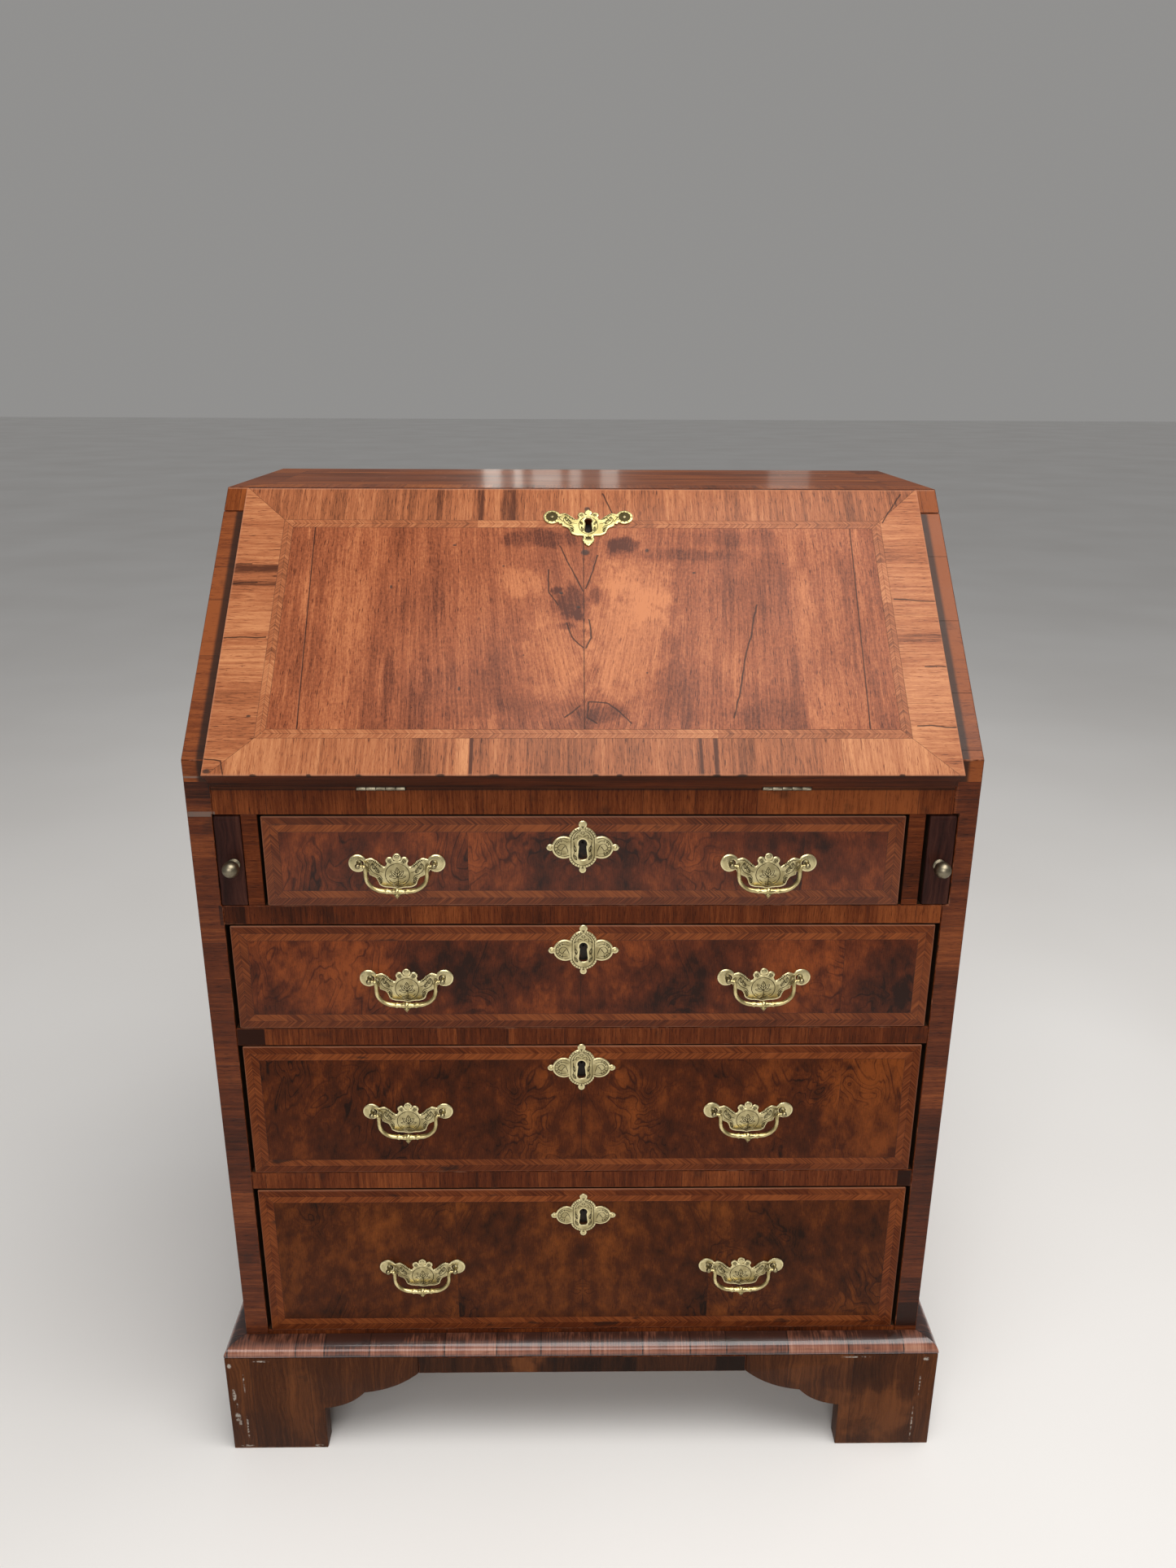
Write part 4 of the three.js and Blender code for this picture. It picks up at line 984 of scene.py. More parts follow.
def carved(bm, cuts, joins=()):
    """The mesh of bm with other bmeshes cut out of it or joined on."""
    objects = []
    for source in (bm, *joins, *cuts):
        objects.append(linked("carving", mesh_of(source)))
    base, *tools = objects
    for i, tool in enumerate(tools):
        modifier = base.modifiers.new("carve", "BOOLEAN")
        modifier.object = tool
        modifier.operation = "UNION" if i < len(joins) else "DIFFERENCE"
        modifier.solver = "EXACT"
    bpy.context.view_layer.update()
    evaluated = base.evaluated_get(bpy.context.evaluated_depsgraph_get())
    mesh = bpy.data.meshes.new_from_object(evaluated)
    for thing in objects:
        bpy.data.objects.remove(thing)
    return mesh


def merged_solid(parts):
    """One bmesh that is the union of several overlapping solids."""
    first, *rest = parts
    mesh = carved(first, [], rest)
    bm = bmesh.new()
    bm.from_mesh(mesh)
    bpy.data.meshes.remove(mesh)
    return bm


def dress(node, materials, bevel, segments=2):
    """Finishes a CAD node that keeps its shape: its materials, the last of them on rounded arrises."""
    piece = frame["nodes"][node]
    piece.data.materials.clear()
    for material in materials:
        piece.data.materials.append(material)
    weld = piece.modifiers.new("weld", "WELD")
    weld.merge_threshold = 0.01 * MM
    flat = piece.modifiers.new("flat", "DECIMATE")
    flat.decimate_type = "DISSOLVE"
    flat.angle_limit = math.radians(1)
    rounding = piece.modifiers.new("arris", "BEVEL")
    rounding.width = bevel
    rounding.segments = segments
    rounding.limit_method = "ANGLE"
    rounding.angle_limit = math.radians(40)
    rounding.material = len(materials) - 1
    rounding.use_clamp_overlap = True


def arc(centre, radii, start, end, count):
    """Points along an oval arc, angles in degrees."""
    angles = np.radians(np.linspace(start, end, count))
    return [(centre[0] + radii[0] * math.cos(a), centre[1] + radii[1] * math.sin(a)) for a in angles]


def circle(x, y, radius_x, radius_y=None, count=24):
    return arc((x, y), (radius_x, radius_y or radius_x), 0, 360 - 360 / count, count)


def closed(ring):
    """The ring as a line that ends where it starts."""
    return [*ring, ring[0]]


def bend(start, handle, end, count):
    """Points along a parabola that leaves its start towards the handle and comes to its end from it."""
    start, handle, end = (np.array(point, float) for point in (start, handle, end))
    shares = np.linspace(0, 1, count)
    return [tuple((1 - t) ** 2 * start + 2 * t * (1 - t) * handle + t * t * end) for t in shares]


def flowing(points, steps=4):
    """A smooth line through the points, in so many steps from each to the next."""
    points = [np.array(point, float) for point in points]
    points = [2 * points[0] - points[1], *points, 2 * points[-1] - points[-2]]
    line = []
    for a, b, c, d in zip(points, points[1:], points[2:], points[3:]):
        slope, turn, twist = c - a, 2 * a - 5 * b + 4 * c - d, 3 * b - a - 3 * c + d
        for t in np.linspace(0, 1, steps, endpoint=False):
            line.append(tuple(0.5 * (2 * b + slope * t + turn * t**2 + twist * t**3)))
    line.append(tuple(points[-2]))
    return line


def turned(profile, sides=28):
    """A bmesh turned about Z from (radius, height) points that start and end on the axis."""
    bm = bmesh.new()
    rings = []
    for radius, height in profile:
        if radius < 1e-6:
            rings.append([bm.verts.new((0, 0, height * MM))])
            continue
        ring = circle(0, 0, radius, count=sides)
        rings.append([bm.verts.new((x * MM, y * MM, height * MM)) for x, y in ring])
    for lower, upper in zip(rings, rings[1:]):
        for i in range(sides):
            j = (i + 1) % sides
            low_pair = [lower[i % len(lower)], lower[j % len(lower)]]
            high_pair = [upper[j % len(upper)], upper[i % len(upper)]]
            corners = list(dict.fromkeys(low_pair + high_pair))
            if len(corners) > 2:
                bm.faces.new(corners)
    return bm


def tube(path, radii, sides=12):
    """A bmesh round bar along a path in mm, with a radius at each point."""
    bm = bmesh.new()
    path = [Vector(point) for point in path]
    rings = []
    side = None
    for i, (point, radius) in enumerate(zip(path, radii)):
        ahead = path[min(i + 1, len(path) - 1)] - path[max(i - 1, 0)]
        ahead.normalize()
        if side is None:
            side = ahead.orthogonal().normalized()
        side = (side - ahead * side.dot(ahead)).normalized()
        other = ahead.cross(side)
        ring = []
        for k in range(sides):
            angle = 2 * math.pi * k / sides
            offset = (side * math.cos(angle) + other * math.sin(angle)) * radius
            ring.append(bm.verts.new((point + offset) * MM))
        rings.append(ring)
    skin(bm, rings)
    return bm


# ------------------------------------------------------------------ cut and engraved brass plates

PLATE_THICKNESS = 1.5
RIM = 0.75  # width of the bevel
RIM_DROP = 0.45
RUBBED = 1.5  # width of the bright edge
GROOVE_HALF = 0.38
GROOVE_DEPTH = 0.3


def inside(loops, points):
    """For each point, whether it is inside the loops, by counting crossings."""
    result = np.zeros(len(points), bool)
    px, py = points[:, 0], points[:, 1]
    for loop in loops:
        xs, ys = np.array(loop, float).T
        for x0, y0, x1, y1 in zip(xs, ys, np.roll(xs, -1), np.roll(ys, -1)):
            if y0 == y1:
                continue
            crosses = (y0 > py) != (y1 > py)
            at = x0 + (py - y0) * (x1 - x0) / (y1 - y0)
            result ^= crosses & (px < at)
    return result


def triangulate(loops, lines=()):
    """Triangles of the plane that have all the closed loops and open lines among their edges.

    Gives the corners, the triangles, and for each corner the points that it comes from."""
    points, edges = [], []
    for number, line in enumerate([*loops, *lines]):
        start, count = len(points), len(line)
        points += [Vector((float(p[0]), float(p[1]))) for p in line]
        edges += [(start + i, start + i + 1) for i in range(count - 1)]
        if number < len(loops):
            edges.append((start + count - 1, start))
    found = delaunay_2d_cdt(points, edges, [], 0, 1e-4)
    corners = np.array([(p.x, p.y) for p in found[0]])
    return corners, np.array([face for face in found[2] if len(face) == 3]), found[3]


def outlines(solids, holes):
    """The outer and inner loops of the union of the solid outlines, less the holes."""
    corners, faces = triangulate([*solids, *holes])[:2]
    middles = corners[faces].mean(1)
    kept = np.zeros(len(faces), bool)
    for solid in solids:
        kept |= inside([solid], middles)
    for hole in holes:
        kept &= ~inside([hole], middles)
    following = {}
    directed = {(a, b) for face in faces[kept] for a, b in zip(face, np.roll(face, -1))}
    for a, b in directed:
        if (b, a) not in directed:
            following.setdefault(a, []).append(b)
    loops = []
    while following:
        start = min(following)
        loop, at = [], start
        while at in following:
            loop.append(at)
            ahead = following[at].pop()
            if not following[at]:
                del following[at]
            at = ahead
            if at == start:
                break
        points = [corners[i] for i in loop]
        tidy = [p for p, q in zip(points, points[1:] + points[:1]) if np.hypot(*(p - q)) > 0.12]
        if len(tidy) > 3:
            loops.append(tidy)
    return loops


def shifted(line, distance, is_ring):
    """The line moved to its left by a distance."""
    points = np.array(line, float)
    if is_ring:
        ahead, behind = np.roll(points, -1, 0), np.roll(points, 1, 0)
    else:
        ahead = np.vstack([points[1:], points[-1:]])
        behind = np.vstack([points[:1], points[:-1]])
    way = ahead - behind
    way /= np.maximum(np.hypot(way[:, 0], way[:, 1]), 1e-9)[:, None]
    return points + np.column_stack([-way[:, 1], way[:, 0]]) * distance


def distance_to(lines, points):
    """Distance from each point to the nearest of the lines."""
    best = np.full(len(points), 1e9)
    for line in lines:
        line = np.array(line, float)
        for start, end in zip(line, line[1:]):
            way = end - start
            share = np.clip(((points - start) @ way) / max(way @ way, 1e-12), 0, 1)
            gap = points - start - share[:, None] * way
            best = np.minimum(best, np.hypot(gap[:, 0], gap[:, 1]))
    return best


def engraved_plate(solids, holes, engraving, dome, extra_loops=()):
    """A cut plate with bevelled rims and V-shaped engraved lines, lying on the XY plane."""
    rims = outlines(solids, holes)
    insets = [shifted(rim, RIM, True) for rim in rims]
    cuts = []
    for line in engraving:
        if math.dist(line[0], line[-1]) < 1e-6:
            cuts += [closed(shifted(line[:-1], aside, True)) for aside in (-GROOVE_HALF, GROOVE_HALF)]
            cuts.append(line)
        else:
            cuts += [shifted(line, -GROOVE_HALF, False), line, shifted(line, GROOVE_HALF, False)]
    fields = [shifted(rim, RUBBED, True) for rim in rims]
    corners, faces, origins = triangulate([*rims, *insets, *fields, *extra_loops], cuts)
    faces = faces[inside(rims, corners[faces].mean(1))]
    rim_count = sum(len(rim) for rim in rims)
    on_rim = np.array([any(i < rim_count for i in source) for source in origins])
    groove = np.clip(1 - distance_to(engraving, corners) / GROOVE_HALF, 0, 1)
    groove[on_rim] = 0
    rubbed = np.clip(1 - distance_to([closed(rim) for rim in rims], corners) / (RUBBED + 0.3), 0, 1)
    height = PLATE_THICKNESS - groove * GROOVE_DEPTH + dome(corners[:, 0], corners[:, 1])
    height[on_rim] -= RIM_DROP

    bm = bmesh.new()
    groove_layer = bm.verts.layers.float.new("groove")
    rubbed_layer = bm.verts.layers.float.new("rubbed")
    top = []
    for (x, y), z, depth, shine in zip(corners, height, groove, rubbed):
        vertex = bm.verts.new((x * MM, y * MM, z * MM))
        vertex[groove_layer] = depth
        vertex[rubbed_layer] = shine
        top.append(vertex)
    for face in faces:
        bm.faces.new([top[i] for i in face])
    borders = [edge for edge in bm.edges if len(edge.link_faces) == 1]
    made = bmesh.ops.extrude_edge_only(bm, edges=borders)["geom"]
    foot = [item for item in made if isinstance(item, bmesh.types.BMVert)]
    for vertex in foot:
        vertex.co.z = 0
    rim_edges = [
        item for item in made
        if isinstance(item, bmesh.types.BMEdge) and all(abs(vertex.co.z) < 1e-9 for vertex in item.verts)
    ]
    bmesh.ops.triangle_fill(bm, use_beauty=False, use_dissolve=False, edges=rim_edges)
    loose = [vertex for vertex in bm.verts if not vertex.link_faces]
    bmesh.ops.delete(bm, geom=loose, context="VERTS")
    return mesh_of(bm)


def both_sides(lines):
    """Each line and its mirror image across the Y axis."""
    return [*lines, *[[(-x, y) for x, y in line] for line in lines]]


def leaf(x, y, angle, length, width):
    """A pointed leaf with a middle vein, as engraved lines."""
    along = np.array((math.cos(math.radians(angle)), math.sin(math.radians(angle))))
    across = np.array((-along[1], along[0]))
    base = np.array((x, y))
    shares = np.linspace(0, 1, 7)
    edges = []
    for side in (-1, 1):
        bulge = side * width / 2 * np.sin(math.pi * shares**0.8)
        edges.append([tuple(base + along * length * t + across * b) for t, b in zip(shares, bulge)])
    vein = [tuple(base + along * length * t) for t in (0.08, 0.4, 0.75)]
    return [*edges, vein]


def strokes(points, length, angle, step=0.0):
    """Short parallel strokes that start at each point."""
    made = []
    for i, (x, y) in enumerate(points):
        turn = math.radians(angle + i * step)
        made.append([(x, y), (x + length * math.cos(turn), y + length * math.sin(turn))])
    return made


# ------------------------------------------------------------------ plates and handles

POST_X = 35.8
POST_RISE = 12.2
ROUNDEL_X = 37  # middles of the plate's round ends
CREST_Y = 18.2
MEDALLION_RADIUS = 11.5


def batwing(scale_y=1.0):
    """The solid outlines of a bat-wing plate, about the middle of its medallion."""
    wing = flowing([
        (8.4, 14.6), (11.6, 8.8), (14.8, 10.6), (19.2, 14.6), (23.8, 17.4), (27.6, 16.8), (33, 14.6),
    ])
    for scallop in ([(33, 6), (30.6, 5.2)], [(29.6, 2.6), (27.0, 3.4)], [(26.6, 0.2), (24.4, -0.6)]):
        wing += flowing(scallop, 2)
    wing += flowing([
        (24.2, -0.8), (20.8, -2.6), (18.6, -6.4), (17.2, -10.0), (12.6, -12.4), (6, -13), (0, -14),
    ])
    left = [(-x, y) for x, y in reversed(wing) if x > 0.01]
    shapes = [[*wing, *left], circle(0, CREST_Y, 3.9), circle(7.0, 14.9, 3.7), circle(-7.0, 14.9, 3.7)]
    shapes += [circle(hand * ROUNDEL_X, POST_RISE, 8.7, 8.9, 32) for _, hand in SIDES]
    return [[(x, y * scale_y) for x, y in shape] for shape in shapes]


def wing_engraving():
    """Leaf scrolls, hatching and a beaded edge on the right wing, and its mirror image."""
    lines = [
        flowing([(13.8, 7.8), (17.6, 11.0), (22.4, 14.8), (26.6, 14.4)]),
        flowing([(14.2, 3.0), (18.5, 5.2), (20.2, 9.0), (17.8, 10.8), (15.8, 8.4)]),
        flowing([(19.0, 0.6), (23.2, 3.4), (25.4, 8.0), (23.6, 12.0)]),
        flowing([(14.6, -3.4), (17.0, 0.2), (20.4, 1.4)]),
        flowing([(30.2, 11.4), (28.4, 8.6), (26.4, 6.2)], 3),
    ]
    lines += leaf(17.4, 2.2, 62, 7.6, 3.0)
    lines += leaf(21.8, 6.0, 80, 6.6, 2.6)
    lines += leaf(15.4, -8.4, 74, 6.8, 2.6)
    lines += strokes([(16.4 + 1.5 * i, 9.8 + 0.95 * i) for i in range(6)], 1.8, 130)
    lines += strokes([(19.4 - 0.7 * i, -1.4 - 1.7 * i) for i in range(5)], 2.0, 150)
    lines += strokes([(5.2 + 0.9 * i, 14.4 - 0.5 * i) for i in range(4)], 2.4, 65)
    return both_sides(lines)


def swell(distance, radius, height):
    """How much a round boss rises at a distance from its middle."""
    return height * np.clip(1 - (distance / radius) ** 2, 0, 1)


def medallion():
    """An engraved ring with a sprig of leaves."""
    lines = [closed(circle(0, 0.4, MEDALLION_RADIUS, count=40)), flowing([(0, -9.8), (0.6, -5), (-0.2, 0)])]
    for angle, length, width in (
        (90, 9.6, 4.6), (46, 8.8, 4.2), (134, 8.8, 4.2), (4, 8.0, 3.6), (176, 8.0, 3.6),
    ):
        lines += leaf(0, -1.6, angle, length, width)
    stalks = [flowing([(0.4, -6.4), (4.6, -7.6), (7.6, -5.0)]), flowing([(0.6, -8.2), (5, -9.2)], 3)]
    return lines + both_sides(stalks)


def handle_plate():
    """A bat-wing plate whose medallion and round ends swell, with a hole behind each post."""
    holes = [circle(hand * (POST_X - 1.2), POST_RISE, 3.5, 3.3, 20) for _, hand in SIDES]
    lines = medallion() + wing_engraving()
    lines += [flowing(arc((0, CREST_Y), (2.4, 2.4), 20, 160, 6), 2)]
    rings = [
        circle(hand * ROUNDEL_X, POST_RISE, radius, count=28) for _, hand in SIDES for radius in (5.2, 7.2)
    ]

    def dome(x, y):
        from_roundel = np.hypot(np.abs(x) - ROUNDEL_X, y - POST_RISE)
        return swell(from_roundel, 8.2, 0.8) + swell(np.hypot(x, y), MEDALLION_RADIUS, 0.5)

    return engraved_plate(batwing(), holes, lines, dome, rings)


def keyhole(centre_y, radius, waist, foot_half, foot_y):
    """A round hole with a flared slot below it, as one outline each."""
    slot = [(-waist, centre_y), (-foot_half, foot_y), (foot_half, foot_y), (waist, centre_y)]
    return [circle(0, centre_y, radius, count=20), slot, circle(0, foot_y, foot_half, 0.75 * foot_half, 16)]


LOBE_X = 17.8
LOBE_Y = 7.4
EAR_X = 30.7
DRAWER_KEYHOLE = keyhole(4.1, 4.2, 3.0, 4.5, -9.2)
FALL_KEYHOLE = keyhole(6.4, 4.0, 2.5, 4.0, -5.6)


def drawer_escutcheon():
    """Four lobes, a tab above and below, and a pinned ear at each side."""
    solids = [circle(0, hand * LOBE_Y, 13.4, count=44) for hand in (1, -1)]
    solids += [circle(hand * LOBE_X, 0, 11.3, count=36) for hand in (1, -1)]
    solids += [circle(0, 23.2, 3.9, 3.8, 20), circle(0, -22.6, 3.3, 3.6, 18)]
    solids += [circle(hand * EAR_X, 0, 3.3, count=18) for hand in (1, -1)]
    solids += [[(32.5, 2.4), (34.6, 0), (32.5, -2.4)], [(-32.5, 2.4), (-32.5, -2.4), (-34.6, 0)]]
    ring = arc((0, LOBE_Y), (10.9, 10.9), 0, 180, 20) + arc((0, -LOBE_Y), (10.9, 10.9), 180, 360, 20)
    lines = [closed(ring), *both_sides([arc((LOBE_X, 0), (9.0, 9.0), -118, 118, 22)])]
    lines += both_sides([
        flowing([(14.0, -3), (16.6, 2.6), (21, 3.4), (23.6, -0.4), (20.6, -3.2), (18.6, -0.6)]),
        flowing([(24.8, 3.0), (22.2, 6.2), (18.2, 6.6), (14.8, 5.4)]),
        flowing([(24.2, -4.0), (20.6, -6.8), (16.4, -6.2)]),
        flowing([(2.4, 17), (6.6, 13.6), (8.9, 8.0), (7.0, 9.6)]),
        flowing([(8.4, 5.4), (7.4, -2), (8.8, -8.4)]),
        flowing([(1.4, 11.4), (4.8, 12.4), (5.4, 9.6)]),
    ])
    lines += both_sides(leaf(6.6, -4.4, 78, 7.2, 2.4) + leaf(5.6, -12.6, 60, 6.4, 2.4))
    lines += strokes(arc((0, -LOBE_Y), (11.6, 11.6), -165, -15, 13), 1.1, -165, 12.5)
    lines += strokes(arc((0, LOBE_Y), (11.6, 11.6), 15, 165, 13), 1.1, 15, 12.5)
    lines += both_sides(strokes(arc((LOBE_X, 0), (6.8, 6.8), -70, 70, 7), 1.2, -70, 23))
    lines += [closed(circle(0, 14.6, 1.7, 1.2, 10))]
    return engraved_plate(solids, DRAWER_KEYHOLE, lines, lambda x, y: swell(y, 20, 0.35))


FALL_PLATE_SCALE = 0.95
FALL_SCREWS = [(-ROUNDEL_X, 11.6), (ROUNDEL_X, 11.6), (0, -18.4)]


def fall_escutcheon():
    """A bat-wing plate with a third tab below, screwed flat to the fall."""
    tab = flowing([(5.6, -10), (5.2, -14.4), (6.0, -17.6), (3.8, -22.4), (0, -25.8)])
    tab += [(-x, y) for x, y in reversed(tab[:-1])]
    cusp = [(-2.4, 18), (0, 21.8), (2.4, 18)]
    solids = [*batwing(FALL_PLATE_SCALE), tab, cusp]
    lines = [closed(circle(0, 0.4, 9.6, 11.0, 40))]
    lines += [[(x, y * FALL_PLATE_SCALE) for x, y in line] for line in wing_engraving()]
    lines += both_sides(leaf(5.6, -7, 78, 6.0, 2.2) + leaf(5.8, 1.2, 60, 5.2, 2.0))
    for x, y in FALL_SCREWS:
        lines += strokes(circle(x, y, 4.6 if y < 0 else 6.2, count=12), 0.9, 0, 30)
    return engraved_plate(solids, FALL_KEYHOLE, lines, lambda x, y: np.zeros(len(x)))


# swellings along the bottom of a bail: distance from the middle, half width, rise
BAIL_BEADS = ((15, 4, 0.25), (9.6, 0.9, 0.9), (7.0, 0.8, 0.5), (3.6, 1.0, 1.0), (0, 2.0, 1.2))


def bail():
    """A swinging bail about its own axis, beaded each side of a bud with a pointed drop."""
    half = flowing([
        (34.4, 0), (31.8, 0), (30.2, -0.7), (29.1, -2.6), (28.9, -6), (28.8, -11), (27.4, -16.4),
        (23.6, -21.2), (17.6, -24.6), (9.4, -25.9), (0, -26.2),
    ], 6)
    path = [(x, y, 0) for x, y in half] + [(-x, y, 0) for x, y in reversed(half[:-1])]
    radii = []
    for x, y, _ in path:
        radius = 1.2 + 0.75 * min(max((31.6 - abs(x)) / 1.5, 0), 1) if y > -1.2 else 1.95
        if y < -18:
            radius += sum(rise * math.exp(-((abs(x) - at) / wide) ** 2) for at, wide, rise in BAIL_BEADS)
        radii.append(radius)
    drop = turned([
        (0, -34.0), (0.7, -33.2), (1.7, -31.6), (2.9, -29.8), (3.1, -28.8), (2.4, -27.8), (2.9, -26.8),
        (3.2, -25.6), (2.5, -23.8), (1.1, -22.7), (0, -22.4),
    ], 16)
    drop.transform(Matrix.Rotation(math.radians(-90), 4, "X"))
    return mesh_of(merged([tube(path, radii, 14), drop]))


POST_PROFILE = [
    (0, 0.2), (3.2, 0.2), (3.2, 1.7), (2.2, 2.2), (1.7, 3.0), (1.7, 4.8), (2.0, 6.0), (2.5, 7.0),
    (2.7, 8.5), (2.5, 9.7), (1.8, 10.6), (0.9, 11.1), (0, 11.2),
]


def posts():
    """The two posts with ball heads that carry a bail, standing on the plate's back."""
    parts = []
    for _, hand in SIDES:
        part = turned(POST_PROFILE, 20)
        part.transform(Matrix.Translation((hand * POST_X * MM, POST_RISE * MM, 0)))
        parts.append(part)
    return mesh_of(merged(parts))


def pin_head(radius, height, sides):
    """A small domed pin head on the XY plane."""
    steps = [(radius * math.cos(a), height * math.sin(a)) for a in np.linspace(0, math.pi / 2, 6)]
    return mesh_of(turned([(0, -0.3), (radius, -0.3), *steps[:-1], (0, height)], sides))


def screw_head(radius):
    """A countersunk screw head with a slot."""
    profile = [(0, -0.8), (0.7, -0.8), (1, 0.0), (0.96, 0.22), (0.5, 0.42), (0, 0.48)]
    bm = turned([(share * radius, height) for share, height in profile], 20)
    slot = block((-radius * MM, -0.3 * MM, 0.05 * MM), (radius * MM, 0.3 * MM, 1 * MM))
    return carved(bm, [slot])


BRASS = brass("rubbed_brass", (0.70, 0.60, 0.31), (0.30, 0.24, 0.10), 0.29)
PLATE_BRASS = brass("engraved_brass", (0.76, 0.67, 0.38), (0.27, 0.22, 0.10), 0.29, True)
FALL_BRASS = brass("bright_brass", (0.62, 0.55, 0.26), (0.3, 0.25, 0.09), 0.36, True)
AGED_BRASS = brass("aged_brass", (0.36, 0.32, 0.23), (0.11, 0.09, 0.06), 0.34)
POST_BRASS = brass("tarnished_brass", (0.34, 0.29, 0.16), (0.09, 0.07, 0.035), 0.34)
IRON = iron("lock_iron")


def upright_frame(x, y, z):
    """A matrix whose X is to the right, Y up and Z out of the case's front."""
    return Matrix.Translation((x, y, z)) @ Matrix.Rotation(math.radians(90), 4, "X")


HANDLE_PLATE = smoothed(handle_plate(), [PLATE_BRASS])
DRAWER_ESCUTCHEON = smoothed(drawer_escutcheon(), [PLATE_BRASS])
POSTS = smoothed(posts(), [POST_BRASS], 50)
BAIL = smoothed(bail(), [BRASS], 60)
PIN = smoothed(pin_head(1.6, 1.1, 14), [BRASS], 60)
LOCK_PIN = smoothed(pin_head(1.3, 3.0, 12), [IRON], 60)
ESCUTCHEON_DROP = 0.5  # its upper tab is the longer one


def middle_of(node):
    """The middle of a node's box."""
    lo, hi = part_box(node)
    return (lo + hi) / 2


def add_handle(name, side):
    """A drawer's handle: plate, posts, and a bail on its own body."""
    axis = Vector(JOINTS[f"{name}_bail_{side}_swing"]["pos_m"])
    plate_node = f"{name}_plate_{side}"
    at_plate = upright_frame(axis.x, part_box(plate_node)[1].y, axis.z - POST_RISE * MM)
    place_piece(f"{name}_backplate_{side}", HANDLE_PLATE, name, [plate_node], at_plate)
    place_piece(f"{name}_posts_{side}", POSTS, name, [plate_node], at_plate)
    body = f"{name}_bail_{side}"
    place_piece(f"{name}_swan_bail_{side}", BAIL, body, [body], upright_frame(*axis))


def add_drawer_escutcheon(name):
    """The escutcheon and its two pins. Gives the matrix of the escutcheon's place."""
    node = f"{name}_escutcheon"
    middle = middle_of(node)
    at = upright_frame(middle.x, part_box(node)[1].y, middle.z - ESCUTCHEON_DROP * MM)
    place_piece(f"{name}_lock_escutcheon", DRAWER_ESCUTCHEON, name, [node], at)
    for side, hand in SIDES:
        pin_at = at @ Matrix.Translation((hand * EAR_X * MM, 0, PLATE_THICKNESS * MM))
        place_piece(f"{name}_escutcheon_pin_{side}", PIN, name, [], pin_at)
    return at


# ------------------------------------------------------------------ drawers

LAP = 5.0  # thickness of the veneered face in front of the dovetails
TAIL_LENGTH = 13.0
TAIL_COUNT = (3, 4, 5, 5)
CORE_INSET = 1.3
SIDE_BOARD = 11.0
BACK_BOARD = 10.0
FLOOR_RISE = 7.0
FLOOR_BOARD = 7.0
WELL_DEPTH = 1.1
LOCK_HALF_WIDTH = 34.0
LOCK_DEPTH = 11.0
OAK_ALONG_Y = plain_board("oak_drawer_side", 1, 2, OAK_TONES)
OAK_ALONG_X = plain_board("oak_drawer_bottom", 0, 1, OAK_TONES)
OAK_BACK = plain_board("oak_drawer_back", 0, 2, OAK_TONES)
PINE_CORE = plain_board("pine_drawer_core", 0, 2, PINE_TONES)


def drawer_side_board(hand, start, lo, hi, tails):
    """A drawer side in one board, dovetailed into the front, between two corners of the drawer's box."""
    pitch = (hi.z - lo.z) / tails
    wide, narrow = 0.12 * pitch, 0.22 * pitch
    tip = start - TAIL_LENGTH * MM
    outline = [(hi.y, lo.z), (hi.y, hi.z)]
    for i in range(tails):
        high = hi.z - i * pitch
        low = high - pitch
        outline += [(start, high - narrow), (tip, high - wide)] if i else [(start, high), (tip, high)]
        outline += [(tip, low + wide), (start, low + narrow)]
    outline.append((start, lo.z))
    xs = sorted((hand * hi.x, hand * (hi.x - SIDE_BOARD * MM)))
    bm = prism(outline, xs, along_x)
    round_edges(bm, 0.5 * MM, 1, lambda edge: abs(edge.verts[0].co.y - edge.verts[1].co.y) > 0.1)
    return mesh_of(bm)


def keyhole_cut(outline, depth, matrix):
    """A solid to cut a keyhole with, between two depths at the matrix's place."""
    return merged_solid([
        prism([(x * MM, y * MM) for x, y in part], depth, placed_by(matrix)) for part in outline
    ])


def add_lock(name, lock_at, back_y):
    """A drawer's lock: a dark plate in the keyhole with its pin, and the case behind the front."""
    well_at = lock_at @ Matrix.Translation((0, 0, -(LAP - 1.2) * MM))
    well = prism(circle(0, -2.5 * MM, 8 * MM, 12 * MM, 20), (-WELL_DEPTH * MM, 0), placed_by(well_at))
    keep(f"{name}_lock_plate", mesh_of(well), name, [IRON])
    pin_at = well_at @ Matrix.Translation((0, 3 * MM, 0))
    place_piece(f"{name}_lock_key_pin", LOCK_PIN, name, [], pin_at)
    x, _, z = lock_at.translation
    half = LOCK_HALF_WIDTH * MM
    lock_case = block(
        (x - half, back_y, z - 22 * MM), (x + half, back_y + LOCK_DEPTH * MM, z + 14 * MM), 1.2 * MM
    )
    keep(f"{name}_lock_case", mesh_of(lock_case), name, [IRON])


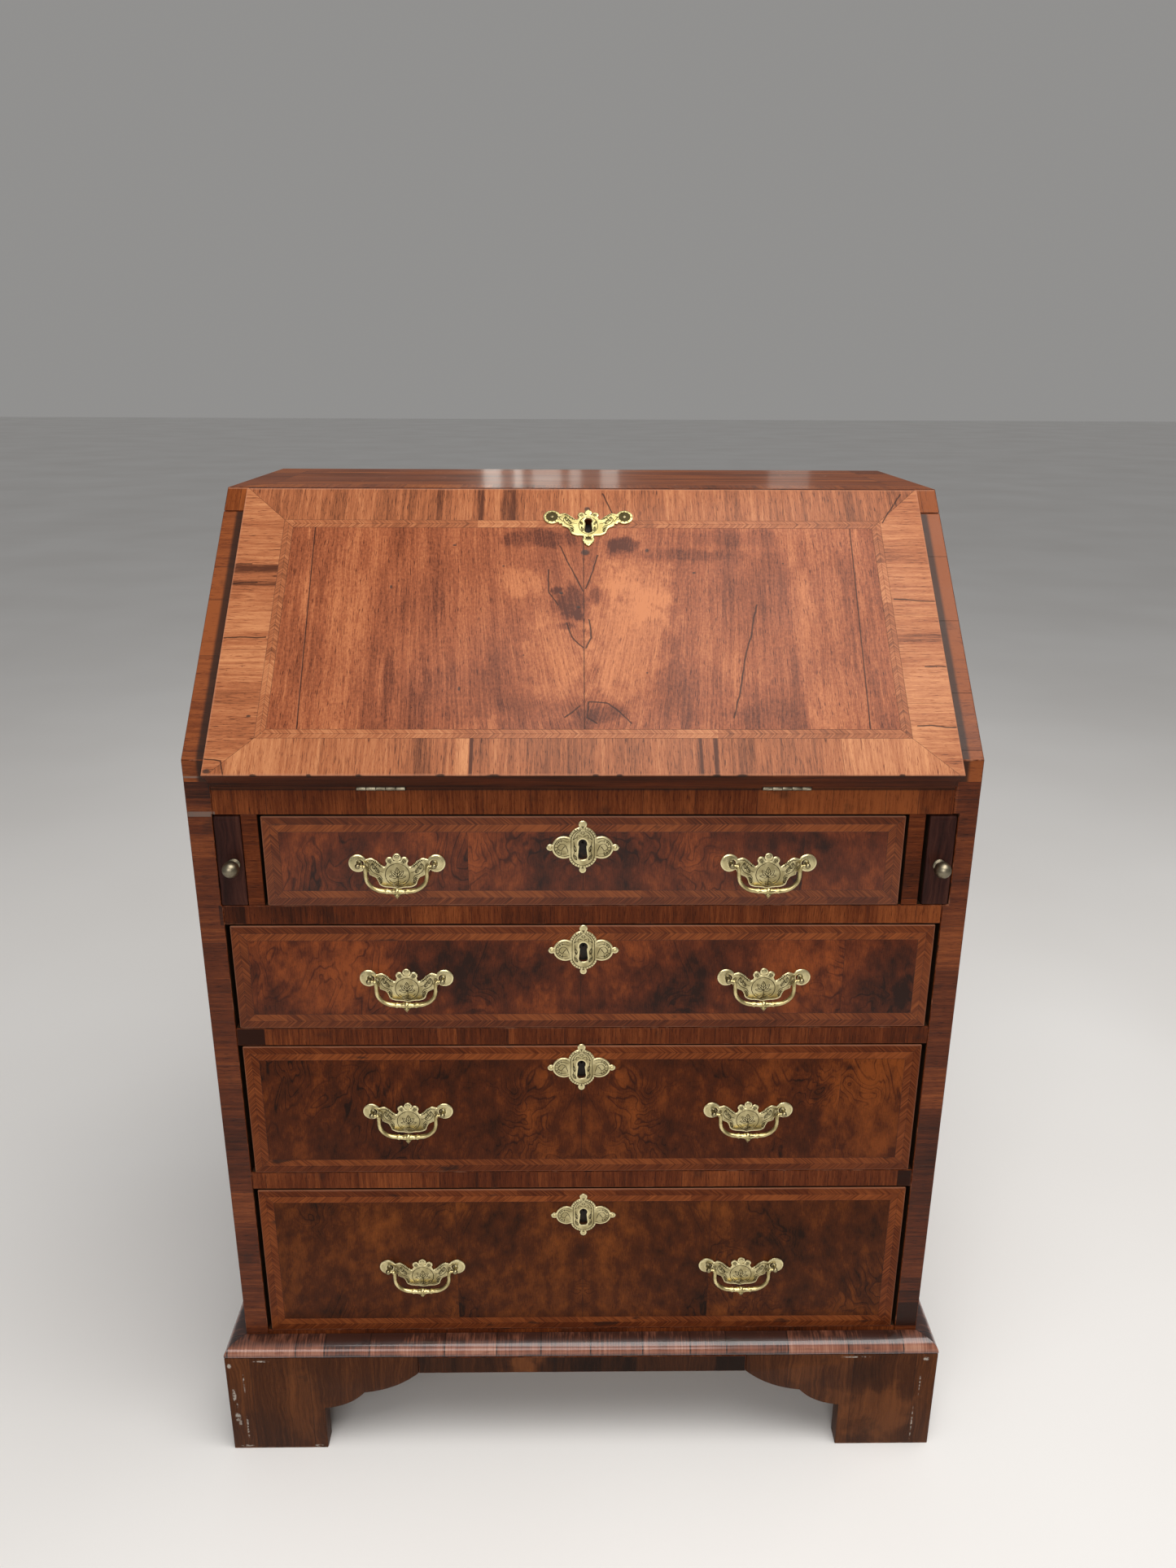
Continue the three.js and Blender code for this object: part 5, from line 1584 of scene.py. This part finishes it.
def add_drawer(index):
    """A drawer: veneered front on a pine core, lock, dovetailed oak box and two handles."""
    name = f"drawer_{index + 1}"
    lo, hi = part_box(f"{name}_front")
    box_lo, box_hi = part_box(f"{name}_box")
    lock_at = add_drawer_escutcheon(name)

    face = block(lo, (hi.x, lo.y + LAP * MM, hi.z), 1.1 * MM, 3)
    face = carved(face, [keyhole_cut(DRAWER_KEYHOLE, (-(LAP + 2) * MM, 2 * MM), lock_at)])
    keep(f"{name}_veneered_face", face, name, [drawer_walnut(index)], [f"{name}_front"])
    core_lo = (lo.x + CORE_INSET * MM, lo.y + LAP * MM, lo.z + 0.6 * MM)
    core = block(core_lo, (hi.x - CORE_INSET * MM, hi.y, hi.z - 0.6 * MM), 0.6 * MM)
    keep(f"{name}_front_core", mesh_of(core), name, [PINE_CORE], [f"{name}_front"])
    add_lock(name, lock_at, hi.y)

    for side, hand in SIDES:
        board = drawer_side_board(hand, hi.y, box_lo, box_hi, TAIL_COUNT[index])
        keep(f"{name}_side_{side}", board, name, [OAK_ALONG_Y], [f"{name}_box"])
    inner = box_hi.x - SIDE_BOARD * MM
    floor_z = box_lo.z + FLOOR_RISE * MM
    back_lo = (-inner, box_hi.y - BACK_BOARD * MM, floor_z)
    back = block(back_lo, (inner, box_hi.y - 0.3 * MM, box_hi.z - 2 * MM), 0.8 * MM)
    keep(f"{name}_back_board", mesh_of(back), name, [OAK_BACK], [f"{name}_box"])
    bottom_hi = (inner, box_hi.y - 1 * MM, floor_z + FLOOR_BOARD * MM)
    bottom = block((-inner, hi.y, floor_z), bottom_hi, 0.4 * MM, 1)
    keep(f"{name}_bottom_board", mesh_of(bottom), name, [OAK_ALONG_X], [f"{name}_box"])
    for side, _ in SIDES:
        add_handle(name, side)


for drawer_index in range(DRAWER_COUNT):
    add_drawer(drawer_index)

# ------------------------------------------------------------------ case

ARRIS = worn_arris()
RAIL = rail_walnut("rail_walnut", 0.0)
STILE = rail_walnut("partition_walnut", 1.0)
OAK_BOARD = plain_board("oak_board", 0, 1, OAK_TONES, 0.6)

SIDE = side_walnut()
for side_name, _ in SIDES:
    dress(f"side_{side_name}", [SIDE, ARRIS], 0.9 * MM)
    dress(f"loper_divider_{side_name}", [STILE, STILE], 0.7 * MM)
dress("top_board", [top_walnut(), ARRIS], 1.0 * MM, 3)
for rail_name in ("rail_1", "rail_2", "rail_3"):
    dress(rail_name, [RAIL, ARRIS], 0.7 * MM)
dress("fall_rail", [RAIL, RAIL], 0.5 * MM)
dress("bottom_board", [RAIL, ARRIS], 0.7 * MM)
dress("writing_bed", [OAK_BOARD, OAK_BOARD], 0.5 * MM)
NEST_ARRIS = 0.8 * MM


def add_nest():
    """Thin oak boards housed in each other, each where the frame has it."""
    vertices = frame["nodes"]["pigeonhole_nest"].data.vertices
    lo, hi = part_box("pigeonhole_nest")
    xs = sorted({round(vertex.co.x, 4) for vertex in vertices})
    zs = sorted({round(vertex.co.z, 4) for vertex in vertices})
    levels = list(zip(zs[::2], zs[1::2]))
    shelves = [block((lo.x, lo.y, bottom), (hi.x, hi.y, top), NEST_ARRIS) for bottom, top in levels]
    uprights = []
    for x0, x1 in zip(xs[::2], xs[1::2]):
        for below, above in zip(levels, levels[1:]):
            uprights.append(block((x0, lo.y, below[1]), (x1, hi.y, above[0]), NEST_ARRIS))
    oak_upright = plain_board("oak_upright", 2, 1, OAK_TONES, 0.6)
    for name, boards, wood in (("shelves", shelves, OAK_BOARD), ("uprights", uprights, oak_upright)):
        keep(f"pigeonhole_{name}", mesh_of(merged(boards)), "case", [wood], ["pigeonhole_nest"])


add_nest()

BACK_PLANKS = 4
NAIL_ROWS = 4
NAIL_DEPTH = 1.2  # the planks lie this far inside the back's outline, and the nails' heads on them


def add_back():
    """Rough upright planks, nailed to the case."""
    lo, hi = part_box("back_panel")
    wood = plain_board("pine_back_plank", 2, 0, PINE_TONES, 0.8)
    pitch = (hi.x - lo.x) / BACK_PLANKS
    face_y = hi.y - NAIL_DEPTH * MM
    nail = smoothed(pin_head(2.6, 0.9, 10), [IRON], 60)
    draw = random.Random(4)
    for i in range(BACK_PLANKS):
        x0, x1 = lo.x + i * pitch + 0.1 * MM, lo.x + (i + 1) * pitch - 0.1 * MM
        plank = block((x0, lo.y, lo.z), (x1, face_y, hi.z), 1.4 * MM)
        keep(f"back_plank_{i + 1}", mesh_of(plank), "case", [wood], ["back_panel"])
        for row, z in enumerate(np.linspace(lo.z + 12 * MM, hi.z - 12 * MM, NAIL_ROWS)):
            for k, x in enumerate((x0 + 22 * MM, x1 - 22 * MM)):
                at = (x + draw.uniform(-6, 6) * MM, face_y, z + draw.uniform(-4, 4) * MM)
                matrix = Matrix.Translation(at) @ Matrix.Rotation(math.radians(-90), 4, "X")
                place_piece(f"back_nail_{i + 1}_{row + 1}_{k + 1}", nail, "case", [], matrix)


add_back()

# ------------------------------------------------------------------ plinth

MOULDING_STATIONS = 40


def moulding_profile(depth, bottom, top):
    """(distance out, height) points of the moulding's rounded face, in metres."""
    bulge = bend((depth, bottom + 3 * MM), (depth - 1.5 * MM, top - 1 * MM), (3 * MM, top), 12)
    lower = [(0.3 * MM, bottom), (depth - 0.7 * MM, bottom), (depth, bottom + 0.8 * MM)]
    return [*lower, *bulge, (0.3 * MM, top)]


def add_moulding(name, start, along, out, length, mitres, material):
    """One mitred length, its surface a little uneven as hand-made mouldings are."""
    lo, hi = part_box(name)
    profile = moulding_profile(PLINTH_OUT, lo.z, hi.z)
    start, along, out = Vector(start), Vector(along), Vector(out)
    draw = random.Random(len(name))
    stations = np.linspace(0, length, MOULDING_STATIONS)
    bm = bmesh.new()
    rings = []
    for i, station in enumerate(stations):
        sag = draw.uniform(-0.16, 0.0) * MM
        mitre = 0
        if i == 0 and mitres[0]:
            mitre = -1
        if i == len(stations) - 1 and mitres[1]:
            mitre = 1
        ring = []
        for d, z in profile:
            reach = d + (sag if d > 2 * MM else 0)
            place = start + along * (station + mitre * d) + out * reach + Vector((0, 0, z))
            ring.append(bm.verts.new(place))
        rings.append(ring)
    skin(bm, rings)
    keep(f"{name}_veneered", mesh_of(bm), "case", [material], [name], angle=50)


foot_lo, foot_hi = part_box("foot_front_left")
PLINTH_OUT = -foot_lo.x - HALF_WIDTH
MITRE_GAP = 0.6 * MM
add_moulding(
    "base_moulding_front", (-HALF_WIDTH, FRONT_Y, 0), (1, 0, 0), (0, -1, 0), 2 * HALF_WIDTH, (1, 1),
    moulding_walnut("moulding_front_walnut", 0),
)
MOULDING_SIDE = moulding_walnut("moulding_side_walnut", 1)
for side_name, hand in SIDES:
    add_moulding(
        f"base_moulding_{side_name}", (hand * HALF_WIDTH, FRONT_Y + MITRE_GAP, 0), (0, 1, 0), (hand, 0, 0),
        BACK_Y - FRONT_Y - MITRE_GAP, (1, 0), MOULDING_SIDE,
    )

FOOT = foot_walnut()
FOOT_WIDTH = 105
APRON_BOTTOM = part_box("front_apron")[0].z / MM
PLINTH_TOP = foot_hi.z / MM
BRACKET = 20
GLUE_BLOCK_WIDTH = 38


def bracket_outline(length):
    """(distance from the corner, height) outline of a bracket foot, in mm."""
    lobes = bend((FOOT_WIDTH, 57), (134, 60), (150, 79), 14)
    lobes += bend((150, 79), (186, 83), (211, APRON_BOTTOM), 14)[1:]
    corner = arc((FOOT_WIDTH - 1.2, 1.2), (1.2, 1.2), -90, 0, 4)
    return [(0, 0), *corner, *lobes, (length, APRON_BOTTOM), (length, PLINTH_TOP), (0, PLINTH_TOP)]


def bracket(length, along, out, corner):
    """One bracket board, mitred at the corner, in world places."""
    corner, along, out = Vector(corner), Vector(along), Vector(out)

    def to_place(a, b, depth):
        reach = depth if a < 0.01 else a
        return corner + (along * reach - out * depth + Vector((0, 0, b))) * MM

    bm = prism(bracket_outline(length), (0, BRACKET), to_place)
    face_at = corner.dot(out)
    round_edges(bm, 0.8 * MM, 2, lambda edge: all(abs(v.co.dot(out) - face_at) < 1e-6 for v in edge.verts))
    return mesh_of(bm)


def add_foot(name):
    """A bracket foot: a face and a flank mitred at the corner, and the block glued inside them."""
    lo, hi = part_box(name)
    hand = 1 if lo.x > 0 else -1
    way = -1 if "front" in name else 1
    corner = (hi.x if hand > 0 else lo.x, lo.y if way < 0 else hi.y, 0)
    side_length = (hi.y - lo.y) / MM
    face_length = (hi.x - lo.x) / MM
    face = bracket(face_length, (-hand, 0, 0), (0, way, 0), corner)
    keep(f"{name}_face", face, "case", [FOOT, ARRIS], [name])
    flank = bracket(side_length, (0, -way, 0), (hand, 0, 0), corner)
    keep(f"{name}_flank", flank, "case", [FOOT, ARRIS], [name])
    depths = (BRACKET * MM, (BRACKET + GLUE_BLOCK_WIDTH) * MM)
    x0, x1 = sorted(corner[0] - hand * depth for depth in depths)
    y0, y1 = sorted(corner[1] - way * depth for depth in depths)
    rough = block((x0, y0, 0.5 * MM), (x1, y1, PLINTH_TOP * MM), 3 * MM)
    keep(f"{name}_glue_block", mesh_of(rough), "case", [GLUE_BLOCK], [name])


GLUE_BLOCK = plain_board("pine_glue_block", 2, 0, PINE_TONES, 0.85)
for foot_name in ("foot_front_left", "foot_front_right", "foot_back_left", "foot_back_right"):
    add_foot(foot_name)
dress("front_apron", [FOOT, ARRIS], 0.7 * MM)

# ------------------------------------------------------------------ lopers

LOPER = loper_walnut()
KNOB_PROFILE = [
    (0, 0.0), (6.0, 0.0), (6.0, 0.8), (5.4, 1.6), (3.6, 2.2), (2.9, 3.2), (2.7, 4.4), (3.4, 5.4),
    (5.2, 6.4), (6.8, 8.2), (7.7, 10.4), (7.95, 12.6), (7.7, 14.8), (6.9, 17.0), (5.5, 18.9),
    (3.8, 20.1), (2.2, 20.8), (0, 21.1),
]
KNOB_BRASS = brass("dull_knob_brass", (0.27, 0.235, 0.165), (0.12, 0.1, 0.066), 0.4)
KNOB = smoothed(mesh_of(turned(KNOB_PROFILE, 36)), [KNOB_BRASS], 50)
for side_name, _ in SIDES:
    dress(f"loper_{side_name}", [LOPER, LOPER], 1.6 * MM, 3)
    knob_node = f"loper_knob_{side_name}"
    knob_middle = middle_of(knob_node)
    knob_at = upright_frame(knob_middle.x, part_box(knob_node)[1].y, knob_middle.z)
    place_piece(f"{knob_node}_turned", KNOB, f"loper_{side_name}", [knob_node], knob_at)

# ------------------------------------------------------------------ fall and its hinges

HINGE_KNUCKLES = 5
KNUCKLE_RADIUS = 2.15
KNUCKLE_GAP = 0.3
LEAF_HALF = 22.7
LEAF_END = 28.0
LEAF_THICKNESS = 1.5
LEAF_GAP = 0.3  # between the hinge's middle plane and each leaf
FALL_TAB_DROP = 25.4  # from the medallion's middle to the foot of the fall's escutcheon


def fall_lock_matrix():
    """The place of the fall's escutcheon: on its outer face, about the middle of the medallion."""
    points = in_fall_frame("fall_escutcheon")
    middle_x = (min(point.x for point in points) + max(point.x for point in points)) / 2
    rise = min(point.y for point in points) + FALL_TAB_DROP * MM
    return FALL_FRAME @ Matrix.Translation((middle_x, rise, min(point.z for point in points)))


def fall_mesh():
    """The fall: a rebated board with rounded arrises, let in for its hinges, with a keyhole."""
    lip_inner = EDGE_OFFSET + 0.3 * MM
    lean = (FALL_THICKNESS - lip_inner) / math.tan(SLOPE)
    lip_top = FALL_FACE_TOP + lean
    outline = [
        (0, lip_inner - 1 * MM), (lip_top, lip_inner - 1 * MM), (lip_top, lip_inner),
        (FALL_FACE_TOP, FALL_THICKNESS), (0, FALL_THICKNESS),
    ]
    lip = prism(outline, (-FALL_HALF_WIDTH, FALL_HALF_WIDTH), along_x)
    round_edges(lip, 1.5 * MM, 3, lambda edge: all(v.co.z > lip_inner - 0.1 * MM for v in edge.verts))
    rim = 5 * MM
    inset_half = INNER_HALF - 1 * MM
    inset_top = max(point.y for point in fall_points if point.z < MM)
    # the solids to cut away end well beyond the board
    beyond = FALL_HALF_WIDTH + rim
    above = 400 * MM
    trims = [
        block((-beyond, -rim, -rim), (-inset_half, above, lip_inner)),
        block((inset_half, -rim, -rim), (beyond, above, lip_inner)),
        block((-beyond, inset_top, -rim), (beyond, above, lip_inner)),
    ]
    inset = block((-inset_half, 0, 0), (inset_half, inset_top, lip_inner + 1 * MM))
    for side, _ in SIDES:
        lo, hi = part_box(f"hinge_{side}_fall_leaf")
        xs = (lo.x - 0.5 * MM, hi.x + 0.5 * MM)
        recess = (xs[1], (LEAF_END + 0.4) * MM, (LEAF_THICKNESS + 0.6) * MM)
        trims.append(block((xs[0], -rim, -rim), recess))
        trims.append(prism(circle(0, 0, (KNUCKLE_RADIUS + 0.45) * MM, count=16), xs, along_x))
    trims.append(keyhole_cut(FALL_KEYHOLE, (-12 * MM, 3 * MM), FALL_FRAME.inverted() @ fall_lock_matrix()))
    mesh = carved(lip, trims, [inset])
    mesh.transform(FALL_FRAME)
    return mesh


def add_fall():
    """The fall with its escutcheon, the escutcheon's screws, and the parts of its lock."""
    keep("fall_veneered_board", fall_mesh(), "fall", [fall_walnut()], ["fall_board"])
    at = fall_lock_matrix()
    keep("fall_lock_escutcheon", fall_escutcheon(), "fall", [FALL_BRASS], ["fall_escutcheon"], at)
    screw = smoothed(screw_head(1.5), [POST_BRASS], 40)
    for k, (x, y) in enumerate(FALL_SCREWS):
        turn = Matrix.Rotation(math.radians(35 + 50 * k), 4, "Z")
        screw_at = at @ Matrix.Translation((x * MM, y * MM, PLATE_THICKNESS * MM)) @ turn
        place_piece(f"fall_escutcheon_screw_{k + 1}", screw, "fall", [], screw_at)
    pin_at = at @ Matrix.Translation((0, -3 * MM, -8 * MM))
    place_piece("fall_lock_key_pin", LOCK_PIN, "fall", [], pin_at)
    well = prism(circle(0, 0, 9 * MM, 14 * MM, 20), (-11.4 * MM, -9 * MM), placed_by(at))
    keep("fall_lock_plate", mesh_of(well), "fall", [IRON])
    inside_at = at @ Matrix.Translation((0, 0, -(FALL_THICKNESS + 0.3 * MM)))
    lock_case = block((-38 * MM, -20 * MM, -0.9 * MM), (38 * MM, 22 * MM, 0.6 * MM), 0.6 * MM)
    keep("fall_lock_case", mesh_of(lock_case), "fall", [AGED_BRASS], [], inside_at)


add_fall()


def knuckle(start, end):
    """One barrel along X, its ends eased."""
    length = end - start
    easing = [(KNUCKLE_RADIUS - 0.5, 0), (KNUCKLE_RADIUS - 0.12, 0.12), (KNUCKLE_RADIUS, 0.45)]
    far_easing = [(radius, length - height) for radius, height in reversed(easing)]
    bm = turned([(0, 0), *easing, *far_easing, (0, length)], 24)
    bm.transform(Matrix.Translation((start * MM, 0, 0)) @ Matrix.Rotation(math.radians(90), 4, "Y"))
    return bm


def hinge_leaf(first, leaf_z):
    """A leaf with every second knuckle, in the hinge's frame: the leaf along +Y, facing +Z."""
    pitch = 2 * LEAF_HALF / HINGE_KNUCKLES
    bottom, top = leaf_z * MM, (leaf_z + LEAF_THICKNESS) * MM
    parts = [block((-LEAF_HALF * MM, 2.7 * MM, bottom), (LEAF_HALF * MM, LEAF_END * MM, top), 0.3 * MM)]
    for i in range(first, HINGE_KNUCKLES, 2):
        start = -LEAF_HALF + i * pitch + KNUCKLE_GAP / 2
        end = start + pitch - KNUCKLE_GAP
        parts.append(knuckle(start, end))
        parts.append(block((start * MM, 0.6 * MM, bottom), (end * MM, 3.6 * MM, top)))
    return smoothed(mesh_of(merged(parts)), [AGED_BRASS], 40)


CASE_LEAF = hinge_leaf(0, -LEAF_GAP - LEAF_THICKNESS)
FALL_LEAF = hinge_leaf(1, LEAF_GAP)
SCREW = smoothed(screw_head(2.1), [AGED_BRASS], 40)
SCREW_PLACES = ((-15, 11), (0, 18), (15, 11))  # across the leaf and along it


def add_hinge(side):
    """Both leaves of a hinge, each with three screws whose slots are at odd angles."""
    case_node, fall_node = f"hinge_{side}_case_leaf", f"hinge_{side}_fall_leaf"
    case_at = Matrix.Translation((middle_of(case_node).x, HINGE.y, HINGE.z))
    fall_at = FALL_FRAME @ Matrix.Translation((middle_of(fall_node).x, 0, 0))
    place_piece(f"{case_node}_brass", CASE_LEAF, "case", [case_node], case_at)
    place_piece(f"{fall_node}_brass", FALL_LEAF, "fall", [fall_node], fall_at)
    for k, (x, y) in enumerate(SCREW_PLACES):
        facing_up = Matrix.Rotation(0.4 + k, 4, "Z")
        facing_down = Matrix.Rotation(math.pi, 4, "X") @ Matrix.Rotation(0.9 * k, 4, "Z")
        for node, body, leaf_at, face_z, turn in (
            (case_node, "case", case_at, -LEAF_GAP, facing_up),
            (fall_node, "fall", fall_at, LEAF_GAP, facing_down),
        ):
            screw_at = leaf_at @ Matrix.Translation((x * MM, y * MM, face_z * MM)) @ turn
            place_piece(f"{node}_screw_{k + 1}", SCREW, body, [], screw_at)


for side_name, _ in SIDES:
    add_hinge(side_name)

# ------------------------------------------------------------------ camera, floor and light

CAMERA_PLACE = (-0.0117, FRONT_Y - 1.0334, 1.1453)
CAMERA_PITCH = math.radians(19.258)
CAMERA_YAW = math.radians(0.829)
CAMERA_ROLL = math.radians(0.268)
CAMERA_LENS = 27.113  # mm, for a sensor 36 mm high

camera_data = bpy.data.cameras.new("camera")
camera_data.sensor_width = 36.0
camera_data.lens = CAMERA_LENS
camera_data.clip_start = 0.01
camera = linked("camera", camera_data)
turn = Matrix.Rotation(-CAMERA_YAW, 4, "Z") @ Matrix.Rotation(math.pi / 2 - CAMERA_PITCH, 4, "X")
camera.matrix_world = Matrix.Translation(CAMERA_PLACE) @ turn @ Matrix.Rotation(CAMERA_ROLL, 4, "Z")
bpy.context.scene.camera = camera


def add_floor():
    """A wide, faintly clouded pale floor."""
    g = Graph("pale_floor")
    x, y, _ = g.place()
    cloud = g.noise(x * 1.2, y * 1.2, detail=2.0)
    colour = g.ramp(cloud, (0.3, (0.80, 0.79, 0.78)), (0.7, (0.86, 0.855, 0.85)))
    material = g.finish(colour, 0.75, cloud, 0.2 * MM)
    bm = bmesh.new()
    bmesh.ops.create_grid(bm, x_segments=4, y_segments=4, size=30)
    mesh = bpy.data.meshes.new("floor")
    bm.to_mesh(mesh)
    bm.free()
    mesh.materials.append(material)
    linked("floor", mesh)


def add_light(name, place, target, size, power, colour):
    """A soft rectangular lamp at the place, turned to the target, that the camera doesn't see."""
    data = bpy.data.lights.new(name, "AREA")
    data.shape = "RECTANGLE"
    data.size, data.size_y = size
    data.energy = power
    data.color = colour
    light = linked(name, data)
    light.location = place
    light.rotation_mode = "QUATERNION"
    light.rotation_quaternion = (Vector(place) - Vector(target)).to_track_quat("Z", "Y")
    light.visible_camera = False


add_floor()
add_light("ceiling", (0.62, -0.9, 3.1), (0.2, -0.3, 0.5), (2.5, 1.8), 80, (1.0, 0.97, 0.93))
add_light("front_fill", (-0.5, -3.2, 2.0), (0, 0, 0.6), (2.2, 1.4), 40, (1.0, 0.97, 0.94))
# windows behind the desk, which only its polished top reflects: x, width, power
WINDOWS = (
    (-0.29, 0.06, 0.5), (-0.2, 0.03, 0.25), (-0.1, 0.1, 0.5), (0.0, 0.04, 0.2), (0.12, 0.06, 0.3),
    (0.75, 0.14, 0.3),
)
for window, (x, wide, power) in enumerate(WINDOWS):
    place, target = (x, 3.0, 1.28), (x * 0.4, 0, 1.0)
    add_light(f"window_{window + 1}", place, target, (wide, 0.34), power, (1.0, 0.95, 0.86))

world = bpy.data.worlds.new("studio")
world.use_nodes = True
background = world.node_tree.nodes["Background"]
background.inputs["Color"].default_value = (0.95, 0.935, 0.915, 1)
background.inputs["Strength"].default_value = 0.30
bpy.context.scene.world = world
bpy.context.scene.view_settings.view_transform = "Standard"
